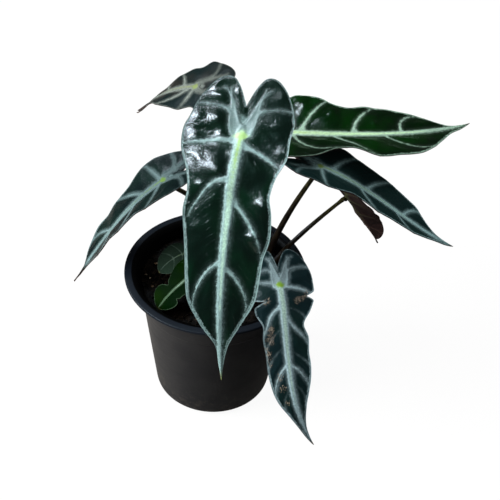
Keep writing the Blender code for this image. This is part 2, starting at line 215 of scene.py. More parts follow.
# Side veins of each half, as (start at the midrib, end at the edge, bend), in parts of the
# length, and last the part of the way to the edge that a vein runs if it stops before it.
# "lobes" is where each half's lobe vein ends between the lobe's inner and outer edge.
PLAIN_VEINS = ((0.02, 0.10, 1.5), (0.28, 0.42, 1.5), (0.55, 0.68, 1.5))
YOUNG_VEINS = ((0.05, 0.25, 1.5), (0.35, 0.6, 1.5))
VEINS = {
    "front": dict(
        a=((0.030, 0.068, 1.3), (0.203, 0.353, 2.8, 0.86), (0.525, 0.715, 1.9, 0.93)),
        b=((0.050, 0.140, 1.4), (0.28, 0.50, 1.5, 0.95), (0.55, 0.73, 1.9, 0.92)),
        lobes=(0.32, 0.33)),
    "back_right": dict(
        a=((0.06, 0.30, 1.6), (0.24, 0.42, 1.4), (0.49, 0.71, 1.6)),
        b=((0.09, 0.21, 2.0), (0.345, 0.49, 2.6), (0.585, 0.73, 2.6)), lobes=(0.40, 0.40)),
    "right": dict(
        a=((0.01, 0.10, 1.3), (0.28, 0.42, 1.5), (0.55, 0.68, 1.5)),
        b=((0.08, 0.18, 1.8), (0.32, 0.44, 1.8), (0.60, 0.72, 1.8)), lobes=(0.55, 0.30)),
    "right_low": dict(a=PLAIN_VEINS, b=PLAIN_VEINS, lobes=(0.40, 0.40)),
    "front_right": dict(
        a=((-0.01, -0.04, 1.2), (0.14, 0.31, 1.7), (0.49, 0.66, 1.7), (0.37, 0.50, 1.5),
           (0.62, 0.76, 1.5), (0.26, 0.40, 1.5)),
        b=((0.01, 0.07, 1.8), (0.21, 0.37, 1.4), (0.49, 0.65, 1.8), (0.39, 0.50, 1.3),
           (0.14, 0.22, 1.6), (0.60, 0.74, 1.6)), lobes=(0.30, 0.34)),
    "left": dict(
        a=((0.01, 0.08, 1.3), (0.18, 0.36, 1.6), (0.52, 0.72, 1.6)),
        b=((0.03, 0.17, 1.2), (0.26, 0.42, 1.5), (0.52, 0.66, 1.5)), lobes=(0.36, 0.22)),
    "back_left": dict(
        a=((0.11, 0.21, 1.6), (0.30, 0.46, 1.6), (0.54, 0.70, 1.6)),
        b=((0.00, 0.09, 1.3), (0.05, 0.36, 1.3), (0.45, 0.64, 1.5)), lobes=(0.45, 0.40)),
    "young_upper": dict(a=YOUNG_VEINS, b=YOUNG_VEINS, lobes=(0.40, 0.40)),
    "young_lower": dict(a=((0.05, 0.22, 1.5),), b=((0.05, 0.22, 1.5),), lobes=(0.40, 0.40)),
}
# Half widths of the side veins in millimetres, in the order of VEINS; one below zero shows
# only as haze.  Then the lobe vein: its end in parts of the length of a leaf whose lobe is as
# long as LOBE's, its half width at the joint before the factor "lobes" in RELIEF, and that
# factor where a leaf has none.
SIDE_WIDTHS = (1.60, 1.50, 1.20, -1.90, -1.90, -1.90)
LOBE_VEIN_END = -0.205
LOBE_VEIN_WIDTH = 4.5
LOBE_VEIN_FACTOR = 0.6
# Branches of a lobe vein: the point they leave from, where they end in parts of the
# length and of the lobe's width, half width in millimetres, bow in parts of the length, and
# how much wider the fork itself is in millimetres
LOBE_BRANCHES = ((10, -0.120, 0.98, 0.90, 0.012, 2.0), (16, -0.205, 0.62, 0.75, 0.010, 0.4))
# Measures that change from joint to tip, as places in parts of the length and values there:
# width of the pale margin, half width of the midrib, how far the midrib's core reaches out,
# and strength of the joint's stripe
MARGIN = ((-0.2, 0.0, 0.3, 0.6, 0.9), (0.75, 1.2, 1.5, 2.2, 1.6))
RIB = ((-0.05, 0.0, 0.1, 0.3, 0.5, 0.65, 0.8, 0.9, 0.96, 1.0),
       (1.4, 3.4, 3.6, 3.3, 2.9, 2.5, 2.1, 1.5, 0.9, 0.4))
CORE = ((-0.03, 0.01, 0.1, 0.26, 0.5, 0.7, 0.9), (-1.0, 2.0, 2.1, 1.7, 0.9, 0.1, -3.0))
STRIPE = ((0.0, 0.08, 0.20, 0.40), (1.0, 0.75, 0.42, 0.0))
# Relief of each leaf: how far the blade bulges between the veins and how far the edge
# curls up, for half a and half b in millimetres; then factors for the width of all veins and
# of the pale edge, of the side veins in half a and half b, and of the lobe veins
RELIEF = {
    "front": dict(bulge=(1.2, 0.8), curl=(0.2, 1.2), veins=1.0, edge=1.0, lobes=1.0),
    "back_right": dict(bulge=(1.2, 1.2), curl=(0.4, 0.4), veins=1.0, edge=0.62, thin=(0.55, 1.0)),
    "right": dict(bulge=(1.1, 1.1), curl=(0.6, 0.3), veins=1.15, edge=0.75, thin=(0.6, 1.0)),
    "right_low": dict(bulge=(0.4, 0.4), curl=(0.1, 0.1), veins=1.0, edge=0.8),
    "front_right": dict(bulge=(1.1, 1.1), curl=(0.8, 0.8), veins=1.05, edge=0.9, lobes=1.1),
    "left": dict(bulge=(1.1, 1.0), curl=(0.8, 0.4), veins=1.35, edge=0.9, thin=(1.0, 0.7)),
    "back_left": dict(bulge=(0.9, 0.9), curl=(0.5, 0.5), veins=1.25, edge=0.8),
    "young_upper": dict(bulge=(0.4, 0.4), curl=(0.1, 0.1), veins=0.9, edge=0.8),
    "young_lower": dict(bulge=(0.3, 0.3), curl=(0.1, 0.1), veins=1.7, edge=0.7),
}

# Colours of each leaf: the blade in shade and in its greener patches, veins and margin, the
# midrib's core, the joint and the tip; then roughness and specular level, how strongly the
# veins show and how strong the pale haze beside them is, how much softer than on a sharp leaf
# the veins' sides are, and how far painted shade darkens them near the joint
TONES = {
    "front": dict(
        blade=(0.0012, 0.0058, 0.0040), green=(0.0010, 0.0110, 0.0050), vein=(0.205, 0.325, 0.328),
        core=(0.345, 0.545, 0.455), joint=(0.32, 0.54, 0.20), tip=(0.12, 0.16, 0.04),
        gloss=0.14, shine=0.38, show=1.0, haze=0.07),
    "back_right": dict(
        blade=(0.0001, 0.0060, 0.0008), green=(0.0001, 0.0180, 0.0004), vein=(0.31, 0.48, 0.38),
        core=(0.54, 0.81, 0.49), joint=(0.26, 0.38, 0.13), tip=(0.07, 0.06, 0.04),
        gloss=0.14, shine=0.36, show=1.0, haze=0.05, near=0.4),
    "right": dict(
        blade=(0.0045, 0.0170, 0.0170), green=(0.0055, 0.0220, 0.0200), vein=(0.28, 0.45, 0.46),
        core=(0.28, 0.45, 0.36), joint=(0.18, 0.28, 0.06), tip=(0.03, 0.04, 0.03),
        gloss=0.36, shine=0.10, show=0.85, haze=0.24, soft=0.8),
    "right_low": dict(
        blade=(0.0030, 0.0080, 0.0070), green=(0.004, 0.013, 0.010), vein=(0.12, 0.19, 0.18),
        core=(0.12, 0.19, 0.11), joint=(0.12, 0.19, 0.03), tip=(0.03, 0.02, 0.015),
        gloss=0.36, shine=0.10, show=0.85, haze=0.14),
    "front_right": dict(
        blade=(0.0035, 0.0120, 0.0145), green=(0.0040, 0.0145, 0.0140), vein=(0.31, 0.44, 0.48),
        core=(0.36, 0.53, 0.47), joint=(0.18, 0.34, 0.015), tip=(0.06, 0.06, 0.03),
        gloss=0.34, shine=0.12, show=0.85, haze=0.20, soft=0.7),
    "left": dict(
        blade=(0.0014, 0.0050, 0.0052), green=(0.0030, 0.0100, 0.0085), vein=(0.135, 0.210, 0.220),
        core=(0.130, 0.205, 0.185), joint=(0.105, 0.19, 0.03), tip=(0.006, 0.007, 0.005),
        gloss=0.36, shine=0.07, show=0.85, haze=0.30, soft=0.8, near=0.5),
    "back_left": dict(
        blade=(0.0040, 0.0090, 0.0095), green=(0.0140, 0.0130, 0.0115), vein=(0.160, 0.190, 0.175),
        core=(0.165, 0.190, 0.150), joint=(0.18, 0.24, 0.08), tip=(0.055, 0.048, 0.042),
        gloss=0.44, shine=0.04, show=0.80, haze=0.32, soft=0.8),
    "young_upper": dict(
        blade=(0.006, 0.012, 0.008), green=(0.008, 0.016, 0.011), vein=(0.08, 0.12, 0.10),
        core=(0.10, 0.15, 0.10), joint=(0.10, 0.18, 0.04), tip=(0.05, 0.05, 0.02),
        gloss=0.5, shine=0.02, show=0.50, haze=0.20),
    "young_lower": dict(
        blade=(0.0001, 0.0045, 0.0001), green=(0.0025, 0.0110, 0.0003), vein=(0.07, 0.125, 0.075),
        core=(0.24, 0.36, 0.29), joint=(0.10, 0.20, 0.03), tip=(0.035, 0.040, 0.010),
        gloss=0.55, shine=0.01, show=0.65, haze=0.0),
}
UNDERSIDE = (0.032, 0.0155, 0.0145)
YOUNG_UNDERSIDE = (0.020, 0.034, 0.014)
# Swellings of a blade between its veins: along and across in parts of the length, across
# positive in half a, then radius and height in millimetres; CONES are pointed ones
CONES = {"front": ((0.180, 0.062, 14.0, 5.0), (-0.050, 0.102, 7.0, 1.9))}
SWELLS = {
    "front": ((-0.050, 0.195, 6.0, 1.2), (0.038, 0.178, 4.0, 1.1), (0.024, 0.076, 4.0, 1.6),
              (-0.148, 0.095, 5.0, 1.2), (-0.178, 0.160, 4.0, -0.9), (-0.172, 0.040, 3.0, 0.35),
              (0.240, 0.120, 3.5, 1.3), (0.090, 0.012, 4.0, 1.1), (0.255, 0.010, 5.0, 1.0),
              (0.235, 0.030, 4.0, 1.0), (0.058, -0.194, 5.0, 1.3), (0.295, -0.146, 8.0, 4.2),
              (-0.035, -0.040, 5.0, 0.9), (0.418, -0.108, 4.5, 3.2), (0.450, -0.132, 3.5, 2.2)),
    "back_right": ((0.065, -0.182, 5.0, 1.0), (0.013, -0.228, 4.0, 0.8), (0.238, -0.130, 5.0, 1.5),
                   (0.455, -0.070, 2.2, 0.9)),
}
# Bites in a leaf's edge: half, place along in parts of the length, depth, and how wide the
# bite opens towards the joint and towards the tip
BITES = {
    "young_lower": (("a", 0.608, 2.6, 2.6, 2.2), ("b", 0.680, 2.8, 2.6, 2.2)),
    "front_right": (("a", 0.095, 8.0, 1.2, 4.5), ("b", 0.080, 6.0, 3.4, 3.6)),
}
# Where the yellow-green spot of the joint lies along the midrib, in parts of the length, and
# how strongly it runs on as a stripe; then the same for all other leaves
JOINTS = {"front": (0.010, 1.0), "front_right": (0.0, 0.35)}
JOINT = (0.0, 0.8)
# Where a leaf's darker tip starts and is full, in parts of the length
TIP = (0.95, 0.99)
TIPS = {"front": (0.94, 1.0), "left": (0.78, 0.88), "back_left": (0.70, 0.82), "right_low": (0.80, 0.95)}
# Scars: along and across in parts of the length, across positive in half a, and radius in
# millimetres
SCARS = {
    "front_right": ((0.055, -0.152, 2.0), (0.080, -0.142, 2.4), (0.094, -0.124, 2.4),
                    (0.098, -0.100, 2.6), (0.108, -0.080, 2.2), (0.095, 0.085, 2.6), (0.105, 0.105, 2.2),
                    (0.27, 0.088, 2.6), (0.295, 0.092, 3.4), (0.325, 0.100, 3.0), (0.345, 0.090, 2.4),
                    (0.385, 0.120, 2.8), (0.410, 0.112, 3.2), (0.440, 0.116, 2.6), (0.47, 0.110, 2.0),
                    (0.54, 0.058, 2.2), (0.56, 0.065, 2.2), (0.615, 0.055, 2.6), (0.70, 0.045, 2.0)),
}
# One half of a leaf: sign is 1 for half a and -1 for half b, whose across is mirrored
Half = namedtuple("Half", "key sign name leaf length inner outer")


def smooth(low, high, values):
    """0 below low, 1 above high, and a smooth step between them."""
    share = np.clip((np.asarray(values, float) - low) / (high - low), 0.0, 1.0)
    return share * share * (3.0 - 2.0 * share)


class Value:
    """A node's output that can be added, taken away and multiplied."""

    def __init__(self, shader, socket):
        self.shader = shader
        self.socket = socket

    def __add__(self, other):
        return self.shader.math("ADD", self, other)

    def __sub__(self, other):
        return self.shader.math("SUBTRACT", self, other)

    def __rsub__(self, other):
        return self.shader.math("SUBTRACT", other, self)

    def __mul__(self, other):
        return self.shader.math("MULTIPLY", self, other)


class Shader:
    """A material's nodes, with short calls for the ones used here."""

    def __init__(self, name):
        self.material = bpy.data.materials.new(name)
        self.material.use_nodes = True
        self.tree = self.material.node_tree
        self.surface = self.tree.nodes["Principled BSDF"]
        self.spot = self.node("TexCoord").outputs["Object"]

    def node(self, kind, inputs=None, **settings):
        made = self.tree.nodes.new("ShaderNode" + kind)
        for key, value in settings.items():
            setattr(made, key, value)
        for key, value in (inputs or {}).items():
            self.feed(made.inputs[key], value)
        return made

    def feed(self, socket, value):
        if isinstance(value, Value):
            value = value.socket
        if isinstance(value, bpy.types.NodeSocket):
            self.tree.links.new(value, socket)
        elif socket.type == "RGBA":
            socket.default_value = (*value, 1.0)
        else:
            socket.default_value = value

    def finish(self, **sockets):
        """Feed the main shader; an underscore stands for a space in a socket's name."""
        for key, value in sockets.items():
            self.feed(self.surface.inputs[key.replace("_", " ")], value)
        return self.material

    def math(self, operation, first, second=0.0):
        return Value(self, self.node("Math", {0: first, 1: second}, operation=operation).outputs[0])

    def larger(self, first, second):
        return self.math("MAXIMUM", first, second)

    def attribute(self, name):
        return Value(self, self.node("Attribute", attribute_name=name).outputs["Fac"])

    def axis(self, letter):
        return self.node("SeparateXYZ", {0: self.spot}).outputs[letter]

    def step(self, value, low, high, to_low=0.0, to_high=1.0):
        """A smooth step from to_low to to_high while the value goes from low to high."""
        inputs = dict(enumerate((value, low, high, to_low, to_high)))
        return Value(self, self.node("MapRange", inputs, interpolation_type="SMOOTHSTEP").outputs[0])

    def noise(self, scale, detail=2.0, roughness=0.5, distortion=0.0, upward=1.0):
        """Cloudy noise; upward scales it along Z, so a small value draws it out."""
        spot = self.spot
        if upward != 1.0:
            spot = self.node("Mapping", {"Vector": spot, "Scale": (1.0, 1.0, upward)}).outputs[0]
        inputs = {"Vector": spot, "Scale": scale, "Detail": detail,
                  "Roughness": roughness, "Distortion": distortion}
        return Value(self, self.node("TexNoise", inputs).outputs["Fac"])

    def clouds(self, scale, low, high, detail=2.0, roughness=0.5, distortion=0.0):
        """Noise cut to patches: 0 where it is below low, 1 where it is above high."""
        return self.step(self.noise(scale, detail, roughness, distortion), low, high)

    def cells(self, scale, feature="F1"):
        inputs = {"Vector": self.spot, "Scale": scale}
        return Value(self, self.node("TexVoronoi", inputs, feature=feature).outputs["Distance"])

    def mix(self, share, first, second):
        return self.node("Mix", {"Factor": share, 6: first, 7: second}, data_type="RGBA").outputs[2]

    def blend(self, share, first, second):
        return self.node("MixShader", {0: share, 1: first, 2: second}).outputs[0]

    def glow(self, colour, strength):
        return self.node("Emission", {"Color": colour, "Strength": strength}).outputs[0]

    def bump(self, height, depth, strength=1.0, after=None):
        """Relief of the given depth in metres where the height runs from 0 to 1."""
        inputs = {"Height": height, "Distance": depth, "Strength": strength}
        if after is not None:
            inputs["Normal"] = after
        return self.node("Bump", inputs).outputs["Normal"]


def scaled(colour, factor):
    return tuple(factor * part for part in colour)


def leaf_material(name, tone):
    """Glossy dark blade with grainy pale veins, a pale margin and a bright joint."""
    s = Shader("leaf_" + name)
    wander = s.noise(420.0) - 0.5
    ragged = (s.noise(2100.0, 3.0, 0.62) - 0.5) * 5.5 + wander * 2.4
    mottle = s.clouds(1150.0, 0.40, 0.60, 3.0, 0.70)
    along = s.attribute("along")
    stripe = s.attribute("stripe")
    inside_vein = s.attribute("vein")
    wavy_vein = inside_vein + wander

    # Where veins, the haze beside them and the margin lie; a dotted groove runs in the margin
    soft = tone.get("soft", 0.0)
    vein = s.step(inside_vein + ragged, -0.75 - soft, 0.85 + 0.8 * soft)
    beside = s.step(inside_vein + wander * 3.0, -3.6, 0.3, 0.0, tone["haze"])
    web = s.step(s.attribute("web") + wander * 0.8, 0.25, 0.95, 0.0, 0.72)
    haze = s.larger(beside, web) * (mottle * 0.5 + 0.6)
    edge = s.attribute("inset")
    width = s.attribute("margin")
    groove = s.step(s.math("ABSOLUTE", edge - width * 0.55), 0.10, 0.40, 0.8, 0.0)
    groove = groove * s.clouds(800.0, 0.42, 0.58, 1.0)
    margin = s.step(width - edge + ragged * 0.6, -0.3, 0.4) * (1.0 - groove)
    pale = s.larger(vein, margin) * tone["show"]

    # The blade, with greener patches off the lobes and fine lines along the side veins
    patches = s.clouds(38.0, 0.42, 0.70) * s.step(along, -0.15, 0.0, 0.3, 1.0)
    blade = s.mix(patches, tone["blade"], tone["green"])
    fine = s.math("ABSOLUTE", s.math("SINE", (stripe + s.noise(90.0) * 6.0) * 0.62))
    fine = s.step(fine, 0.0, 0.2, 1.0, 0.0) * s.clouds(160.0, 0.42, 0.75, 1.0)
    blade = s.mix(s.larger(fine * 0.03, haze), blade, tone["vein"])

    # The veins: mottled, with painted shade that dulls them on the lobes and in their channel, then
    # core, painted shade near the joint, joint and tip
    # The darker vein colour used as painted shade
    painted_shade = scaled(tone["vein"], 0.30)
    bright = s.step(wavy_vein, -0.6, 1.2, 0.35, 1.0) * (mottle * 0.65 + 0.35)
    mint = s.mix(bright, scaled(tone["vein"], 0.52), scaled(tone["vein"], 1.25))
    # Painted shade: veins on the lobes and in the fork at the joint are darkened
    mint = s.mix(s.step(along, 0.03, -0.05, 0.0, 0.7), mint, painted_shade)
    # Painted shade: the groove along a vein's middle is darkened
    mint = s.mix(s.step(wavy_vein, 0.9, 1.6, 0.0, 0.25), mint, scaled(tone["vein"], 0.62))
    core = s.step(s.attribute("core") + wander * 2.0, -0.9, 0.9)
    mint = s.mix(core, mint, s.mix(mottle, scaled(tone["core"], 0.72), scaled(tone["core"], 1.18)))
    # Painted shade near the joint, as strong as the tone's near
    mint = s.mix(s.step(along, 0.45, 0.10, 0.0, tone.get("near", 0.0)), mint, painted_shade)
    mint = s.mix(s.step(s.attribute("joint") + wander * 0.9, 0.20, 0.90), mint, tone["joint"])
    colour = s.mix(s.attribute("tip"), s.mix(pale, blade, mint), tone["tip"])

    # Scars: torn tan streaks along the side veins
    near_scar = s.attribute("scar")
    streaks = s.math("SINE", stripe * 3.2 + s.noise(300.0) * 9.0) * 0.60
    torn = (s.noise(520.0, 4.0, 0.72, 1.2) - 0.5) * 4.4 + streaks
    scar = s.step(near_scar + torn, 1.04, 1.40) * s.step(near_scar, 0.15, 0.45)
    tan = s.mix(s.clouds(1300.0, 0.35, 0.65), (0.10, 0.075, 0.055), (0.42, 0.34, 0.26))
    colour = s.mix(scar * 0.85, colour, tan)

    roughness = s.larger(pale, scar) * 0.12 + tone["gloss"] + s.clouds(70.0, 0.4, 0.7) * 0.05
    relief = s.bump(s.noise(850.0, 2.0, 0.65), 0.00030, 0.75)
    relief = s.bump(pale * s.noise(2400.0), 0.00022, 0.7, relief)
    relief = s.bump(fine, 0.00012, 0.7, relief)
    raised = s.step(inside_vein, -0.5, 1.2) - s.step(inside_vein, 1.4, 2.9, 0.0, 0.3)
    relief = s.bump(raised, 0.0004, 1.0, relief)
    return s.finish(Base_Color=colour, Roughness=roughness, Normal=relief,
                    Specular_IOR_Level=tone["shine"])


def underside_material(name, tint):
    """Dull maroon or green underside with a paler net of veins."""
    s = Shader("underside_" + name)
    vein = s.step(s.attribute("vein") + (s.noise(420.0) - 0.5), -1.2, 0.4)
    net = s.step(s.cells(210.0, "DISTANCE_TO_EDGE"), 0.0, 0.10, 0.28, 0.0)
    blade = s.mix(s.clouds(60.0, 0.35, 0.7, 3.0), scaled(tint, 0.62), tint)
    blade = s.mix(net, blade, tuple(2.1 * part + 0.012 for part in tint))
    rib = s.mix(s.step(s.attribute("along"), 0.05, 0.6), (0.10, 0.12, 0.05), (0.13, 0.075, 0.06))
    relief = s.bump(s.noise(1100.0), 0.0001, 0.6)
    relief = s.bump(net, 0.0003, 0.8, relief)
    return s.finish(Base_Color=s.mix(vein * 0.55, blade, rib), Roughness=0.5, Normal=relief,
                    Specular_IOR_Level=0.35)


def unit(rows):
    return rows / np.linalg.norm(rows, axis=-1, keepdims=True)


def bezier(points, t):
    p = np.asarray(points, float)
    t = np.asarray(t, float)[:, None]
    k = 1.0 - t
    return p[0] * k ** 3 + p[1] * (3 * k * k * t) + p[2] * (3 * k * t * t) + p[3] * t ** 3


def smooth_line(points, counts, first, last):
    """A Catmull-Rom line with counts[k] steps in stretch k; first and last lead in and out."""
    line = np.vstack([first, points, last])
    made = []
    for k, count in enumerate(counts):
        p0, p1, p2, p3 = line[k:k + 4]
        t = np.arange(count)[:, None] / count
        made.append(0.5 * (2 * p1 + (p2 - p0) * t + (2 * p0 - 5 * p1 + 4 * p2 - p3) * t ** 2
                           + (3 * p1 - p0 - 3 * p2 + p3) * t ** 3))
    made.append(np.asarray(points[-1:], float))
    return np.vstack(made)


def coverage(spots, line, widths):
    """How far inside a tapered line each flat spot lies; negative outside it."""
    best = np.full(len(spots), OUTSIDE)
    for p, q, low, high in zip(line, line[1:], widths, widths[1:]):
        way = q - p
        share = np.clip((spots - p) @ way / max(way @ way, 1e-9), 0.0, 1.0)
        away = np.linalg.norm(spots - p - share[:, None] * way, axis=1)
        best = np.maximum(best, low + (high - low) * share - away)
    return best


class Sheet:
    """The middle surface of a leaf: a place in space for each (along, across)."""

    def __init__(self, leaf):
        self.leaf = leaf
        self.spots = bezier(leaf["rib"], np.linspace(0.0, 1.0, RIB_POINTS))
        steps = np.linalg.norm(np.diff(self.spots, axis=0), axis=1)
        self.arc = np.concatenate([[0.0], np.cumsum(steps)])
        self.length = self.arc[-1]
        self.ways = unit(np.gradient(self.spots, axis=0))
        side = unit(np.cross(self.ways, (0.0, 0.0, 1.0)))
        up = np.cross(side, self.ways)
        turn = np.radians(np.interp(self.arc / self.length, (0.0, 0.5, 1.0), leaf["turn"]))[:, None]
        self.sides = side * np.cos(turn) + up * np.sin(turn)
        self.ups = up * np.cos(turn) - side * np.sin(turn)

    def read(self, rows, along):
        return np.stack([np.interp(along, self.arc, rows[:, k]) for k in range(3)], axis=1)

    def place(self, along, across):
        """Middle surface and upper normal, in millimetres."""
        share = along / self.length
        fold_a = np.interp(share, (0.0, 1.0), self.leaf["fold_a"])
        fold_b = np.interp(share, (0.0, 1.0), self.leaf["fold_b"])
        side_a = smooth(-CREASE, CREASE, across)
        fold = np.radians(fold_b + (fold_a - fold_b) * side_a)[:, None]
        lift = math.radians(self.leaf["lift"])
        way, side, up = (self.read(rows, along) for rows in (self.ways, self.sides, self.ups))
        back = np.minimum(along, 0.0)[:, None]
        spot = self.read(self.spots, along) + (way * math.cos(lift) + up * math.sin(lift)) * back
        rounded = np.sqrt(across ** 2 + CREASE ** 2)
        down = (rounded - CREASE)[:, None]
        spot = spot + side * across[:, None] * np.cos(fold) - up * down * np.sin(fold)
        normal = up * np.cos(fold) + side * np.sin(fold) * (across / rounded)[:, None]
        return spot, unit(normal)


def half_rows(leaf, length, half, joined_long):
    """Inner and outer ends of a half's rows, from the lobe to the tip, across positive."""
    long, wide = leaf["lobe_" + half]
    inner = []
    outer = []
    for row, (low, high) in enumerate(LOBE):
        reach = joined_long if row >= FIRST_JOINED_ROW else long
        inner.append((low[0] * reach * length, low[1] * wide * length))
        outer.append((high[0] * long * length, high[1] * wide * length))
    outer[0] = inner[0]
    for share, width in zip((*STATIONS, 1.0), (*leaf[half], 0.0)):
        inner.append((share * length, 0.0))
        outer.append((share * length, float(width)))
    return np.array(inner), np.array(outer)


def fine_rows(name, leaf, length):
    """Both halves with rows at the grid's spacing, and the first row in which they meet."""
    joined_long = (leaf["lobe_a"][0] + leaf["lobe_b"][0]) / 2
    ends = {half: half_rows(leaf, length, half, joined_long) for half in "ab"}
    spans = [np.linalg.norm(np.diff(outer, axis=0), axis=1) for inner, outer in ends.values()]
    counts = np.maximum(2, np.ceil(np.maximum(*spans) / GRID)).astype(int)
    first_joined = sum(counts[:FIRST_JOINED_ROW])
    halves = []
    for half, (inner, outer) in ends.items():
        fine_outer = smooth_line(outer, counts, inner[1], 2 * outer[-1] - outer[-2])
        fine_inner = smooth_line(inner, counts, outer[1], 2 * inner[-1] - inner[-2])
        fine_inner[:, 1] = np.maximum(fine_inner[:, 1], 0.0)
        fine_inner[first_joined:, 1] = 0.0
        fine_outer[:, 1] = np.maximum(fine_outer[:, 1], fine_inner[:, 1])
        for bitten, share, depth, upward, tipward in BITES.get(name, ()):
            if bitten == half:
                gap = fine_outer[:, 0] - share * length
                near = np.clip(1.0 - np.where(gap < 0.0, -gap / upward, gap / tipward), 0.0, 1.0)
                fine_outer[:, 1] -= depth * near ** 1.5
        sign = 1.0 if half == "a" else -1.0
        halves.append(Half(half, sign, name, leaf, length, fine_inner, fine_outer))
    return halves, first_joined


def across_at(line, along):
    """How far out a half's inner or outer line runs at the given places."""
    return np.interp(along, line[:, 0], line[:, 1])


def hump(part, spots, place, out, radius, power=2):
    """1 at a place of the leaf and less round it."""
    gap = np.hypot(spots[:, 0] - place * part.length, part.sign * spots[:, 1] - out * part.length)
    return np.exp(-(gap / radius) ** power)


def vein_lines(part):
    """Side veins, lobe vein and its branches of one half as (flat line, half widths)."""
    relief = RELIEF[part.name]
    number = "ab".index(part.key)
    size = part.length / FULL_LENGTH * relief["veins"]
    reach = np.linspace(0.0, 1.0, VEIN_POINTS)
    lines = []
    for vein, side_width in zip(VEINS[part.name][part.key], SIDE_WIDTHS):
        start, end, bend, stop = (*vein, 1.0)[:4]
        along = (start + (end - start) * reach ** bend) * part.length
        across = reach * across_at(part.outer, along) * stop
        base = side_width * size * relief.get("thin", (1.0, 1.0))[number]
        widths = base * (1.0 - 0.45 * reach) * (1.0 - 0.8 * smooth(0.60, 0.97, reach))
        widths = widths + 1.5 * max(base, 0.0) * np.exp(-(reach / 0.14) ** 2)
        lines.append((np.stack([along, across], axis=1), widths))

    long = part.leaf["lobe_" + part.key][0]
    along = LOBE_VEIN_END * long * part.length * reach
    low, high = across_at(part.inner, along), across_at(part.outer, along)
    across = low + (high - low) * VEINS[part.name]["lobes"][number] * reach ** 0.5
    lobe = np.stack([along, across], axis=1)
    base = LOBE_VEIN_WIDTH * relief.get("lobes", LOBE_VEIN_FACTOR)
    lines.append((lobe, size * (base * (1.0 - reach ** 1.2) + 0.8 * np.exp(-(reach / 0.2) ** 2) + 0.1)))
    for fork, end, place, base, bow, flare in LOBE_BRANCHES:
        end = end * long * part.length
        stop = np.array([end, place * across_at(part.outer, end)])
        path = lobe[fork] + (stop - lobe[fork]) * reach[:, None]
        path[:, 0] -= bow * part.length * np.sin(math.pi * reach)
        widths = base * (1.0 - 0.7 * reach ** 0.7) + flare * np.exp(-(reach / 0.17) ** 2)
        lines.append((path, size * widths))
    return lines


def leaf_fields(part, spots, outline):
    """What the material and the relief need to know at each flat spot of a half."""
    name, length = part.name, part.length
    along, across = spots[:, 0], spots[:, 1]
    size = length / FULL_LENGTH
    share = along / length
    rib_width = np.interp(share, *RIB) * size * RELIEF[name]["veins"]
    rib = rib_width - np.hypot(across, np.minimum(along + 0.03 * length, 0.0))
    side = np.full(len(spots), OUTSIDE)
    away = -side
    for line, widths in vein_lines(part):
        side = np.maximum(side, coverage(spots, line, widths))
        away = np.minimum(away, -coverage(spots, line, 0.0 * widths))
    edge = -coverage(spots, outline, np.zeros(len(outline)))
    width = across_at(part.outer, along)
    curve = 0.16 * length * np.clip(across / np.maximum(width, 1.0), 0.0, 1.0) ** 1.5
    scar = np.zeros(len(spots))
    for place, out, radius in SCARS.get(name, ()):
        if out * part.sign > 0:
            scar = np.maximum(scar, hump(part, spots, place, out, radius))
    middle, strength = JOINTS.get(name, JOINT)
    joint = np.exp(-((share - middle) / 0.024) ** 2 - (across / (0.030 * length)) ** 2)
    stripe = np.exp(-(across / (0.0085 * length)) ** 2) * smooth(-0.01, 0.01, share)
    joint = np.maximum(joint, stripe * np.interp(share, *STRIPE) * strength)
    web = np.exp(-((along + 0.042 * length) / (0.044 * length)) ** 2 - (across / (0.040 * length)) ** 2)
    return dict(
        vein=np.maximum(rib, side) / size, inset=edge / size,
        margin=RELIEF[name]["edge"] * np.interp(share, *MARGIN),
        stripe=along - curve, core=np.interp(share, *CORE) - across / size, scar=scar,
        joint=joint, web=web, along=share, tip=smooth(*TIPS.get(name, TIP), share),
        rib=rib, side=side, edge=edge,
        away=np.minimum(away, np.maximum(across - 0.6 * rib_width, 0.0)),
        blade=smooth(-0.15, 0.1, share) * (1.0 - smooth(0.7, 0.95, share)))


def leaf_relief(part, spots, fields):
    """Height of the upper face over the middle surface, and the ribs below it."""
    name, sign = part.name, part.sign
    size = part.length / FULL_LENGTH
    bulge = RELIEF[name]["bulge"]["ab".index(part.key)]
    curl = RELIEF[name]["curl"]["ab".index(part.key)]
    away = np.minimum(fields["away"], fields["edge"] + 3.0 * size)
    puff = 1.0 - np.exp(-(away / (6.5 * size + 1.0)) ** 2)
    lumps = np.array([
        noise.noise(Vector((s * 0.055, sign * v * 0.075, 3.1 + len(name))))
        + 0.35 * noise.noise(Vector((s * 0.17, sign * v * 0.17, 9.7)))
        for s, v in spots])
    ripple = np.array([noise.noise(Vector((s * 0.05, sign * 4.0, len(name) * 1.7))) for s, v in spots])
    for place, out, radius, rise in CONES.get(name, ()):
        lumps = lumps * (1.0 - 0.85 * hump(part, spots, place, out, radius))
    height = bulge * puff * (1.0 + 0.55 * lumps)
    height = height + 0.9 * size * lumps * puff
    height = height + curl * np.exp(-fields["edge"] / (5.0 * size)) * fields["blade"]
    height = height + 1.2 * size * np.exp(-fields["edge"] / (7.0 * size)) * ripple
    for table, power in ((SWELLS, 2), (CONES, 1.3)):
        for place, out, radius, rise in table.get(name, ()):
            height = height + rise * hump(part, spots, place, out, radius, power)
    height = height + 0.45 * size * np.sqrt(np.clip(fields["rib"], 0.0, 2.5))
    from_joint = np.hypot(spots[:, 0] + 2.2 * size, spots[:, 1]) / size
    height = height - 0.45 * size * np.exp(-(from_joint / 1.3) ** 2)
    width = np.interp(fields["along"], (0.0, 1.0), (1.9, 0.6)) * size
    below = 1.7 * size * np.exp(-(spots[:, 1] / width) ** 2) * (1.0 - smooth(0.2, 1.02, fields["along"]))
    return height, below + 0.5 * size * smooth(-0.6, 0.8, fields["side"])


